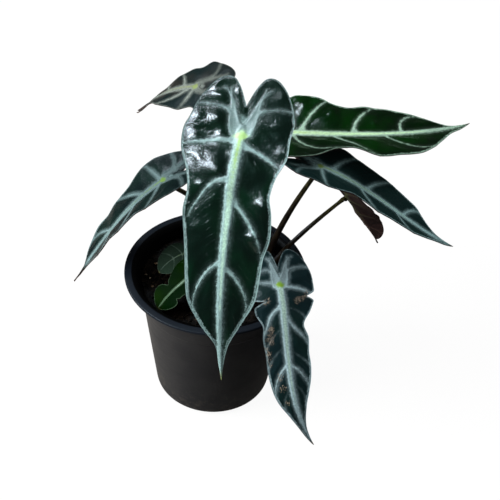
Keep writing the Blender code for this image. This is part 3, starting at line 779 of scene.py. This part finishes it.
def blade_faces(numbers, first_joined, total):
    """Corner numbers of the upper, lower and rim faces, and how many upper ones there are."""
    faces = []
    for half, grid in numbers.items():
        corners = np.stack([grid[:-1, :-1], grid[:-1, 1:], grid[1:, 1:], grid[1:, :-1]], axis=-1)
        for corner in corners.reshape(-1, 4).tolist():
            kept = list(dict.fromkeys(corner))
            if len(kept) > 2:
                faces.append(kept if half == "a" else kept[::-1])
    upper = len(faces)
    faces += [[number + total for number in reversed(face)] for face in faces]
    for half, grid in numbers.items():
        rim = list(dict.fromkeys([*grid[first_joined:0:-1, 0], *grid[:, -1]]))
        for low, high in zip(rim, rim[1:]):
            side = [low, low + total, high + total, high]
            faces.append(side[::-1] if half == "a" else side)
    return faces, upper


def make_leaf(name, leaf):
    """One closed blade of fine quads, with what its material reads stored on the vertices."""
    sheet = Sheet(leaf)
    halves, first_joined = fine_rows(name, leaf, sheet.length)
    widest = max(np.linalg.norm(part.outer - part.inner, axis=1).max() for part in halves)
    share = np.linspace(0.0, 1.0, int(math.ceil(widest / GRID)) + 1)
    rows, columns = len(halves[0].inner), len(share)
    numbers = {}
    tops = []
    bottoms = []
    fields = []
    for part in halves:
        first = len(numbers) * rows * columns
        grid = first + np.arange(rows * columns).reshape(rows, columns)
        grid[0, :] = grid[0, 0]
        numbers[part.key] = grid
        ways = part.outer - part.inner
        spots = (part.inner[:, None] + ways[:, None] * share[None, :, None]).reshape(-1, 2)
        outline = np.vstack([part.inner[first_joined::-1], part.outer])
        known = leaf_fields(part, spots, outline)
        height, depth = leaf_relief(part, spots, known)
        place, normal = sheet.place(spots[:, 0], part.sign * spots[:, 1])
        tops.append(place + normal * (height + BLADE / 2)[:, None])
        bottoms.append(place + normal * (height - BLADE / 2 - depth)[:, None])
        fields.append(known)
    numbers["b"][first_joined:, 0] = numbers["a"][first_joined:, 0]
    for grid in numbers.values():
        grid[-1, :] = numbers["a"][-1, 0]

    spots = np.vstack(tops + bottoms) * MM
    faces, upper = blade_faces(numbers, first_joined, len(spots) // 2)
    shape = bmesh.new()
    used = np.unique([number for face in faces for number in face])
    made = {number: shape.verts.new(spots[number]) for number in used.tolist()}
    for number, face in enumerate(faces):
        piece = shape.faces.new([made[corner] for corner in face])
        piece.smooth = True
        piece.material_index = 0 if number < upper else 1
    mesh = to_mesh("leaf_" + name, shape)
    for key in ("vein", "inset", "margin", "stripe", "core", "scar", "joint", "web", "along", "tip"):
        store(mesh, key, np.tile(np.concatenate([known[key] for known in fields]), 2)[used])
    young = name.startswith("young")
    mesh.materials.append(leaf_material(name, TONES[name]))
    mesh.materials.append(underside_material(name, YOUNG_UNDERSIDE if young else UNDERSIDE))
    add_piece("blade_" + name, mesh, "leaf_" + name)
    return sheet


def to_mesh(name, shape):
    """A mesh from an edit mesh, which is freed."""
    mesh = bpy.data.meshes.new(name)
    shape.to_mesh(mesh)
    shape.free()
    return mesh


def store(mesh, key, values):
    """Keep one number for each vertex under a name that materials can read."""
    layer = mesh.attributes.new(key, "FLOAT", "POINT")
    layer.data.foreach_set("value", values.astype(np.float32))


def shade_smooth(mesh):
    mesh.polygons.foreach_set("use_smooth", [True] * len(mesh.polygons))


def listed_mesh(name, verts, faces, material):
    """A smooth mesh from lists of corners in metres and of faces."""
    mesh = bpy.data.meshes.new(name)
    mesh.from_pydata([tuple(vert) for vert in verts], [], faces)
    shade_smooth(mesh)
    mesh.materials.append(material)
    return mesh


def ring_faces(first, rings, turns):
    """Quads between rings of corners that are numbered from first on."""
    faces = []
    for low in range(first, first + (rings - 1) * turns, turns):
        for k in range(turns):
            j = (k + 1) % turns
            faces.append((low + k, low + j, low + turns + j, low + turns + k))
    return faces


def closed_tube(name, verts, turns, material):
    """A mesh through rings of corners, with a lid at both ends."""
    faces = ring_faces(0, len(verts) // turns, turns)
    faces.append(tuple(reversed(range(turns))))
    faces.append(tuple(range(len(verts) - turns, len(verts))))
    return listed_mesh(name, verts, faces, material)


def put(name, data):
    """A new object in the scene."""
    made = bpy.data.objects.new(name, data)
    bpy.context.scene.collection.objects.link(made)
    return made


def add_piece(name, mesh, node=None):
    """Put a mesh into the scene as a piece that rides on the part's one body."""
    made = put(name, mesh)
    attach(made, "root")
    if node:
        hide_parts(node)
    return made


def tube_mesh(name, spots, radii, material, sides):
    """A closed round tube through the spots (in metres), with an even turn along it."""
    ways = unit(np.gradient(spots, axis=0))
    across = unit(np.cross(ways[0], (0.0, 1.0, 0.1)))
    verts = []
    for spot, way, radius in zip(spots, ways, radii):
        across = unit(across - way * (across @ way))
        other = np.cross(way, across)
        for j in range(sides):
            angle = math.tau * j / sides
            verts.append(spot + radius * (across * math.cos(angle) + other * math.sin(angle)))
    mesh = closed_tube(name, verts, sides, material)
    store(mesh, "rise", np.repeat(np.linspace(0.0, 1.0, len(spots)), sides))
    return mesh


def stalk_material():
    """Dark brown stalk with olive mottling, greener towards the joint."""
    s = Shader("stalk")
    rise = s.attribute("rise")
    streaks = s.noise(620.0, 3.0, upward=0.22)
    mottle = s.step(streaks, 0.40, 0.66)
    brown = s.mix(mottle, (0.006, 0.0038, 0.0026), (0.016, 0.0115, 0.006))
    olive = s.mix(mottle, (0.018, 0.017, 0.006), (0.055, 0.055, 0.018))
    sheath = s.mix(mottle, (0.05, 0.026, 0.016), (0.13, 0.085, 0.05))
    colour = s.mix(s.step(rise, 0.55, 1.0, 0.0, 0.75), brown, olive)
    colour = s.mix(s.step(rise, 0.16, 0.05), colour, sheath)
    relief = s.bump(streaks, 0.00012, 0.6)
    relief = s.bump(s.noise(1500.0, 1.0), 0.00005, 0.5, relief)
    return s.finish(Base_Color=colour, Roughness=0.42, Normal=relief, Specular_IOR_Level=0.14)


def make_stalk(name, leaf, sheet, material):
    """A tapered stalk with a wider clasping base, which runs into the joint."""
    foot = leaf["foot"]
    if not name.startswith("young"):
        angle = math.radians(foot)
        foot = np.array(CROWN) + RING_RADIUS * np.array([math.cos(angle), math.sin(angle)])
    joint, up, way = sheet.spots[0], sheet.ups[0], sheet.ways[0]
    thick, thin = leaf["stalk"]
    top = joint - up * (BLADE / 2 + 1.2 * thin)
    start = np.array([foot[0], foot[1], SOIL_TOP - STALK_DEPTH])
    rise = np.array([0.0, 0.0, leaf["rise"] + 6.0])
    arrive = unit(np.array(leaf["arrive"], float))
    t = np.linspace(0.0, 1.0, STALK_POINTS)
    spots = bezier((start, start + rise, top - arrive * leaf["reach"], top), t)
    clasp = 1.0 + 0.28 * np.exp(-(t / 0.10) ** 2)
    swell = 1.0 + 0.35 * smooth(0.94, 1.0, t)
    waver = np.array([noise.noise(Vector((k * 9.0, len(name), 0.0))) for k in t])
    radii = (thick + (thin - thick) * t ** 0.8) * clasp * swell * (1.0 + 0.05 * waver)
    spots = np.vstack([spots, joint + way * 3.0 - up * (BLADE / 2 + 1.1 * thin)])
    radii = np.append(radii, thin * 0.7)
    mesh = tube_mesh("stalk_" + name, spots * MM, radii * MM, material, STALK_SIDES)
    add_piece("stem_" + name, mesh, "stalk_" + name)


def turned_mesh(name, profile, turns):
    """A closed turned body from a profile of (radius, height) that starts and ends on the axis."""
    shape = bmesh.new()
    rings = []
    for radius, height in profile:
        count = turns if radius > 0.0 else 1
        angles = [math.tau * k / turns for k in range(count)]
        rings.append([shape.verts.new((radius * math.cos(angle), radius * math.sin(angle), height))
                      for angle in angles])
    for low, high in zip(rings, rings[1:]):
        for k in range(turns):
            corners = [low[k % len(low)], low[(k + 1) % len(low)],
                       high[(k + 1) % len(high)], high[k % len(high)]]
            corners = list(dict.fromkeys(corners))
            if len(corners) > 2:
                shape.faces.new(corners)
    bmesh.ops.recalc_face_normals(shape, faces=shape.faces[:])
    return to_mesh(name, shape)


def rounded(corners, steps=4):
    """A profile with each corner (radius, height, rounding) turned into a short arc."""
    line = []
    for k, (radius, height, rounding) in enumerate(corners):
        here = Vector((radius, height))
        if rounding <= 0.0 or k in (0, len(corners) - 1):
            line.append(here)
            continue
        before = Vector(corners[k - 1][:2]) - here
        after = Vector(corners[k + 1][:2]) - here
        reach = min(rounding, before.length * 0.48, after.length * 0.48)
        low, high = here + before.normalized() * reach, here + after.normalized() * reach
        for j in range(steps + 1):
            t = j / steps
            line.append(low * (1 - t) ** 2 + here * (2 * t * (1 - t)) + high * t ** 2)
    return [(spot.x * MM, spot.y * MM) for spot in line]


def wall_radius(height):
    slope = (NECK_RADIUS - LOW_RADIUS) / (NECK_HEIGHT - LOW_HEIGHT)
    return LOW_RADIUS + slope * (height - LOW_HEIGHT)


def pot_material():
    """Charcoal moulded plastic: satin, with a fine grain, faint scuffs and a little dust; painted shade
    inside and under the lip, and a painted bluish reflection on the lip.
    """
    s = Shader("pot")
    rise = s.axis("Z")
    colour = s.mix(s.clouds(45.0, 0.35, 0.7, 3.0), (0.0120, 0.0124, 0.0142), (0.0170, 0.0172, 0.0185))
    # Painted shade: the top of the wall, outside under the lip and inside below it, is made near black
    colour = s.mix(s.step(rise, 0.0990, 0.1030), colour, (0.0020, 0.0020, 0.0022))
    # Painted reflection: the lip is tinted blue as if it mirrored a bluish window
    colour = s.mix(s.step(rise, 0.1066, 0.1080), colour, (0.0050, 0.0075, 0.0120))
    dust = s.step(rise, 0.035, 0.0) * s.clouds(240.0, 0.45, 0.75, 3.0, 0.65)
    colour = s.mix(dust * 0.45, colour, (0.075, 0.066, 0.055))

    # Painted shade: the inner side, where the surface faces the pot's axis, is blacker; it is also less
    # shiny
    level = s.node("VectorMath", {0: s.spot, 1: (1.0, 1.0, 0.0)}, operation="MULTIPLY").outputs[0]
    normal = s.node("TexCoord").outputs["Normal"]
    outward = s.node("VectorMath", {0: level, 1: normal}, operation="DOT_PRODUCT").outputs["Value"]
    colour = s.mix(s.step(outward, *INNER_SIDE), colour, (0.0012, 0.0012, 0.0013))
    shine = s.step(outward, *INNER_SIDE, 0.13, 0.03)

    specks = s.step(s.cells(330.0), 0.085, 0.05) * s.clouds(60.0, 0.5, 0.7)
    colour = s.mix(specks * 0.35, colour, (0.09, 0.08, 0.065))
    roughness = s.step(s.noise(55.0, 4.0, upward=9.0), 0.3, 0.75, 0.42, 0.47)
    relief = s.bump(s.noise(1700.0), 0.00006, 0.45)
    return s.finish(Base_Color=colour, Roughness=roughness, Normal=relief, Specular_IOR_Level=shine)


def make_pot():
    """Thin moulded wall with a flat lip, a ledge under it, feet and drain holes."""
    inside = [
        (0.0, FLOOR_TOP, 0.0),
        (BASE_RADIUS - 0.6, FLOOR_TOP, 1.2),
        (wall_radius(LOW_HEIGHT) - WALL, LOW_HEIGHT, 0.8),
        (wall_radius(NECK_HEIGHT) - WALL, NECK_HEIGHT, 2.0),
        (55.4, POT_HEIGHT - 2.6, 1.0),
        (57.6, POT_HEIGHT - 0.7, 1.0),
        (59.6, POT_HEIGHT, 0.8),
    ]
    lip = [
        (RIM_RADIUS - 0.2, POT_HEIGHT - 0.05, 0.7),
        (RIM_RADIUS, POT_HEIGHT - LIP, 0.6),
        (60.2, POT_HEIGHT - LIP, 0.8),
        (57.6, POT_HEIGHT - LIP - 0.8, 0.9),
        (55.9, POT_HEIGHT - LIP - 2.9, 1.4),
    ]
    outside = [
        (NECK_RADIUS, NECK_HEIGHT, 3.0),
        (wall_radius(LEDGE_HEIGHT + 0.3), LEDGE_HEIGHT + 0.3, 0.3),
        (wall_radius(LEDGE_HEIGHT) - LEDGE_STEP, LEDGE_HEIGHT - 0.4, 0.3),
        (LOW_RADIUS, LOW_HEIGHT, 2.0),
        (BASE_RADIUS + 1.2, FLOOR_TOP - 0.2, 1.2),
        (BASE_RADIUS, FOOT_HEIGHT + 0.4, 0.5),
        (FOOT_OUTER, FOOT_HEIGHT, 0.3),
        (FOOT_OUTER - 0.5, 0.0, 0.4),
        (FOOT_INNER + 0.5, 0.0, 0.4),
        (FOOT_INNER, FOOT_HEIGHT, 0.4),
        (PAD_RADIUS + 0.5, FOOT_HEIGHT, 0.4),
        (PAD_RADIUS, 0.0, 0.3),
        (0.0, 0.0, 0.0),
    ]
    mesh = turned_mesh("pot_shell", rounded(inside + lip + outside), POT_TURNS)
    mesh.materials.append(pot_material())
    pot = add_piece("pot_shell", mesh, "pot")

    cutter = bmesh.new()
    middle = (FOOT_INNER + FOOT_OUTER) / 2 * MM
    low = (FOOT_HEIGHT / 2 - 0.5) * MM
    size = (14.5 * MM, FOOT_NOTCH * MM, (FOOT_HEIGHT + 0.9) * MM, 1.0)
    for k in range(FEET):
        turn = Matrix.Rotation(math.tau * (k + 0.5) / FEET, 4, "Z")
        place = turn @ Matrix.Translation((middle, 0.0, low)) @ Matrix.Diagonal(size)
        bmesh.ops.create_cube(cutter, size=1.0, matrix=place)
        place = turn @ Matrix.Translation((DRAIN_CIRCLE * MM, 0.0, 1.5 * MM))
        bmesh.ops.create_cone(cutter, cap_ends=True, segments=28, radius1=DRAIN_RADIUS * MM,
                              radius2=DRAIN_RADIUS * MM, depth=7.0 * MM, matrix=place)
    tool = put("cutter", to_mesh("cutter", cutter))
    step = pot.modifiers.new("cut", "BOOLEAN")
    step.solver = "EXACT"
    step.object = tool
    bpy.context.view_layer.update()
    done = bpy.data.meshes.new_from_object(pot.evaluated_get(bpy.context.evaluated_depsgraph_get()))
    pot.modifiers.clear()
    pot.data = done
    bpy.data.objects.remove(tool, do_unlink=True)
    shade_smooth(done)
    done.set_sharp_from_angle(angle=math.radians(SHARP_ANGLE))


def soil_material():
    """Potting soil with brown fibres in it, nearly black: partly its own damp colour, partly painted
    shade.
    """
    s = Shader("soil")
    clump = s.clouds(260.0, 0.35, 0.72, 4.0, 0.65)
    fibre = s.clouds(900.0, 0.62, 0.72, 2.0, 0.5, 2.5)
    # Painted shade: these soil colours are darker than the soil's own
    colour = s.mix(clump, (0.0012, 0.0010, 0.0008), (0.0065, 0.0048, 0.0036))
    colour = s.mix(fibre * 0.6, colour, (0.060, 0.040, 0.024))
    relief = s.bump(s.noise(1100.0, 4.0, 0.7), 0.0005, 0.9)
    relief = s.bump(s.noise(320.0, 3.0, 0.6), 0.0010, 0.7, relief)
    return s.finish(Base_Color=colour, Roughness=0.95, Normal=relief, Specular_IOR_Level=0.08)


def bit_material():
    """Light tan chips and pale mineral grains."""
    s = Shader("soil_bits")
    colour = s.mix(s.clouds(120.0, 0.42, 0.58, 1.0), (0.10, 0.062, 0.034), (0.20, 0.165, 0.115))
    colour = s.mix(s.clouds(1500.0, 0.35, 0.7, 3.0) * 0.6, colour, (0.05, 0.035, 0.025))
    relief = s.bump(s.noise(1800.0, 3.0), 0.0003, 0.8)
    return s.finish(Base_Color=colour, Roughness=0.85, Normal=relief)


def soil_height(x, y):
    """Height of the crumbly top over the pot's underside, in millimetres."""
    spot = Vector((x, y, 0.0))
    swell = noise.noise(spot * 0.035) * 1.1
    clods = noise.fractal(spot * 0.16, 0.9, 2.1, 5) * 1.5
    grit = abs(noise.noise(spot * 0.75)) * 0.9
    return SOIL_TOP + swell + clods + grit - 0.6


def make_soil():
    """A bed with a rough top that fills the pot, and loose crumbs and chips on it."""
    rings, turns = 62, 260
    reach = wall_radius(SOIL_TOP) - WALL - 0.1
    verts = [(0.0, 0.0, soil_height(0.0, 0.0))]
    for ring in range(1, rings + 1):
        radius = reach * ring / rings
        for k in range(turns):
            angle = math.tau * (k + 0.5 * (ring % 2)) / turns
            x, y = radius * math.cos(angle), radius * math.sin(angle)
            verts.append((x, y, soil_height(x, y)))
    low = SOIL_TOP - SOIL_DEPTH
    outer = wall_radius(low) - WALL - 0.1
    for k in range(turns):
        angle = math.tau * k / turns
        verts.append((outer * math.cos(angle), outer * math.sin(angle), low))
    faces = [(0, 1 + k, 1 + (k + 1) % turns) for k in range(turns)]
    faces += [(a, d, c, b) for a, b, c, d in ring_faces(1, rings + 1, turns)]
    faces.append(tuple(reversed(range(len(verts) - turns, len(verts)))))
    corners = [[part * MM for part in vert] for vert in verts]
    add_piece("soil_bed", listed_mesh("soil_bed", corners, faces, soil_material()), "soil")

    dice = random.Random(SEED)
    crumbs = bmesh.new()
    chips = bmesh.new()
    for _ in range(CRUMBS):
        radius = (reach - 1.5) * math.sqrt(dice.random())
        angle = dice.uniform(0.0, math.tau)
        add_lump(crumbs, dice, radius * math.cos(angle), radius * math.sin(angle),
                 0.45 + 1.5 * dice.random() ** 2.5)
    light = list(BIG_CHIPS)
    for _ in range(CHIPS):
        turn = dice.uniform(0.0, math.tau)
        out = reach * 0.9
        light.append((out * math.sqrt(dice.random()) * math.cos(turn), out * math.sin(turn)))
    for x, y in light:
        if math.hypot(x, y) < reach - 2.5:
            add_lump(chips, dice, x, y, 0.7 + 0.8 * dice.random())
    for name, shape, material in (("soil_crumbs", crumbs, soil_material()),
                                  ("soil_chips", chips, bit_material())):
        mesh = to_mesh(name, shape)
        mesh.materials.append(material)
        add_piece(name, mesh)


def add_lump(shape, dice, x, y, radius):
    """One crumb of uneven shape, half sunk in the soil."""
    turn = Matrix.Rotation(dice.uniform(0.0, math.tau), 4, (dice.random(), dice.random(), 1.0))
    size = (dice.uniform(0.7, 1.4), dice.uniform(0.7, 1.2), dice.uniform(0.5, 0.9), 1.0)
    spot = (x * MM, y * MM, (soil_height(x, y) + 0.25 * radius) * MM)
    place = Matrix.Translation(spot) @ turn @ Matrix.Diagonal(size)
    made = bmesh.ops.create_icosphere(shape, subdivisions=1, radius=radius * MM, matrix=place)
    for vert in made["verts"]:
        vert.co += noise.noise_vector(vert.co * 900.0) * (0.30 * radius * MM)


def crown_material():
    """Dry brown stem skin with paler fibres."""
    s = Shader("crown")
    colour = s.mix(s.clouds(330.0, 0.35, 0.7, 4.0, 0.6), (0.030, 0.016, 0.010), (0.11, 0.065, 0.036))
    colour = s.mix(s.clouds(1300.0, 0.55, 0.75) * 0.5, colour, (0.20, 0.14, 0.085))
    relief = s.bump(s.noise(800.0, 4.0, 0.65), 0.0006, 0.9)
    return s.finish(Base_Color=colour, Roughness=0.78, Normal=relief)


def round_crown(radius, angle, height):
    """A place in metres from the crown's own axis."""
    return ((CROWN[0] + radius * math.cos(angle)) * MM,
            (CROWN[1] + radius * math.sin(angle)) * MM, height * MM)


def make_crown():
    """The short ringed stem, with dry pointed sheaths round it."""
    turns, rings = 48, 40
    verts = []
    for ring in range(rings + 1):
        t = ring / rings
        height = SOIL_TOP - CROWN_DEPTH + (CROWN_HEIGHT + CROWN_DEPTH) * t
        body = CROWN_RADIUS * (1.0 - 0.45 * smooth(0.6, 1.0, t)) * (1.0 + 0.05 * math.sin(t * 38.0))
        body *= math.sqrt(max(0.0, 1.0 - max(0.0, (t - 0.82) / 0.18) ** 2))
        for k in range(turns):
            angle = math.tau * k / turns
            spot = Vector((math.cos(angle) * 1.6, math.sin(angle) * 1.6, t * 5.0))
            verts.append(round_crown(body * (1.0 + 0.10 * noise.noise(spot)), angle, height))
    bark = crown_material()
    add_piece("stem_crown", closed_tube("stem_crown", verts, turns, bark), "crown")

    dice = random.Random(SEED + 1)
    shape = bmesh.new()
    for k in range(SHEATHS):
        angle = math.tau * (k + dice.uniform(-0.25, 0.25)) / SHEATHS
        length, width = dice.uniform(9.0, 17.0), dice.uniform(4.5, 6.5)
        add_sheath(shape, angle, length, width, dice.uniform(1.5, 4.0))
    mesh = to_mesh("dry_sheaths", shape)
    shade_smooth(mesh)
    mesh.materials.append(bark)
    made = add_piece("dry_sheaths", mesh)
    made.modifiers.new("thickness", "SOLIDIFY").thickness = SHEATH_SKIN * MM


def add_sheath(shape, angle, length, width, lean):
    """A papery pointed scale that clasps the stem."""
    across, rows = 8, 10
    grid = []
    for row in range(rows + 1):
        t = row / rows
        half = width / 2 * (1.0 - t ** 1.8) + 0.15
        line = []
        for k in range(across + 1):
            place = k / across * 2.0 - 1.0
            turn = angle + place * half / (CROWN_RADIUS + 1.0)
            radius = CROWN_RADIUS * (1.0 - 0.2 * t) + 0.7 + lean * t ** 2 - 0.5 * abs(place)
            line.append(shape.verts.new(round_crown(radius, turn, SOIL_TOP - 3.0 + length * t)))
        grid.append(line)
    for low, high in zip(grid, grid[1:]):
        for k in range(across):
            shape.faces.new((low[k], low[k + 1], high[k + 1], high[k]))


def area_light(name, place, size, power, colour, shine):
    """A soft panel that either shines on surfaces or shows only as a reflection in them."""
    light = bpy.data.lights.new(name, "AREA")
    light.shape = "RECTANGLE"
    light.size, light.size_y = size
    light.energy = power
    light.color = colour
    made = put(name, light)
    made.location = place
    made.visible_diffuse = shine
    made.visible_glossy = not shine
    made.rotation_mode = "QUATERNION"
    made.rotation_quaternion = (Vector(LIGHT_TARGET) - Vector(place)).to_track_quat("-Z", "Y")


def floor_material():
    """Pale floor that is nearly white to the camera and fades out far from the pot.

    In reflections it is a glow that is bright on the left, and to all other light it is dim.
    """
    s = Shader("floor")
    rays = s.node("LightPath").outputs
    s.finish(Base_Color=s.mix(s.noise(3.0), (0.84, 0.84, 0.84), (0.88, 0.88, 0.88)), Roughness=0.9)
    lit = s.blend(FLOOR_GLOW, s.surface.outputs[0], s.glow((1.0, 1.0, 1.0), 1.0))
    dim = s.node("BsdfDiffuse", {"Color": (0.25, 0.25, 0.25)}).outputs[0]
    bright_side = s.glow((1.0, 0.94, 0.86), s.step(s.axis("X"), 0.11, -0.24, 0.03, 0.92))
    bounced = s.blend(rays["Is Glossy Ray"], dim, bright_side)
    seen = s.blend(rays["Is Camera Ray"], bounced, lit)
    away = s.node("VectorMath", {0: s.spot}, operation="LENGTH").outputs["Value"]
    faded = s.blend(s.step(away, *FLOOR_FADE), seen, s.node("BsdfTransparent").outputs[0])
    s.feed(s.tree.nodes["Material Output"].inputs["Surface"], faded)
    return s.material


def make_surroundings():
    """White to the camera, soft fill on surfaces, and dim in reflections."""
    world = bpy.data.worlds.new("surroundings")
    bpy.context.scene.world = world
    world.use_nodes = True
    tree = world.node_tree
    tree.nodes.clear()
    path = tree.nodes.new("ShaderNodeLightPath")
    shown = None
    for ray, strength in ((None, GLOSS_FILL), ("Is Diffuse Ray", SOFT_FILL), ("Is Camera Ray", 1.0)):
        sky = tree.nodes.new("ShaderNodeBackground")
        sky.inputs["Color"].default_value = (1.0, 1.0, 1.0, 1.0)
        sky.inputs["Strength"].default_value = strength
        if shown is None:
            shown = sky.outputs[0]
            continue
        mix = tree.nodes.new("ShaderNodeMixShader")
        tree.links.new(path.outputs[ray], mix.inputs[0])
        tree.links.new(shown, mix.inputs[1])
        tree.links.new(sky.outputs[0], mix.inputs[2])
        shown = mix.outputs[0]
    out = tree.nodes.new("ShaderNodeOutputWorld")
    tree.links.new(shown, out.inputs["Surface"])


def make_stage():
    """Pale floor and soft window lights."""
    shape = bmesh.new()
    bmesh.ops.create_circle(shape, cap_ends=True, segments=128, radius=FLOOR_FADE[1] + 0.05)
    mesh = to_mesh("floor", shape)
    mesh.materials.append(floor_material())
    floor = put("floor", mesh)
    floor.location = (0.0, 0.0, -FLOOR_DROP)
    for light in LIGHTS:
        area_light(*light)
    make_surroundings()
    bpy.context.scene.view_settings.view_transform = "Standard"


def make_camera():
    """A view from the front and above, slightly rolled."""
    down = math.radians(CAMERA_DOWN)
    roll = math.radians(CAMERA_ROLL)
    back = Vector((0.0, -math.cos(down), math.sin(down)))
    up = Vector((0.0, math.sin(down), math.cos(down)))
    right = Vector((1.0, 0.0, 0.0))
    rolled_right = right * math.cos(roll) + up * math.sin(roll)
    rolled_up = up * math.cos(roll) - right * math.sin(roll)
    camera = bpy.data.cameras.new("camera")
    camera.sensor_width = 36.0
    camera.lens = CAMERA_LENS
    made = put("camera", camera)
    turn = Matrix((rolled_right, rolled_up, back)).transposed()
    spot = Vector(CAMERA_TARGET) + back * CAMERA_DISTANCE
    made.matrix_world = Matrix.Translation(spot) @ turn.to_4x4()
    bpy.context.scene.camera = made


# The noise that shapes crumbs and chips differs from run to run unless it is seeded
noise.seed_set(SEED)
make_pot()
make_soil()
make_crown()
stalks = stalk_material()
for name, leaf in LEAVES.items():
    make_stalk(name, leaf, make_leaf(name, leaf), stalks)
make_stage()
make_camera()
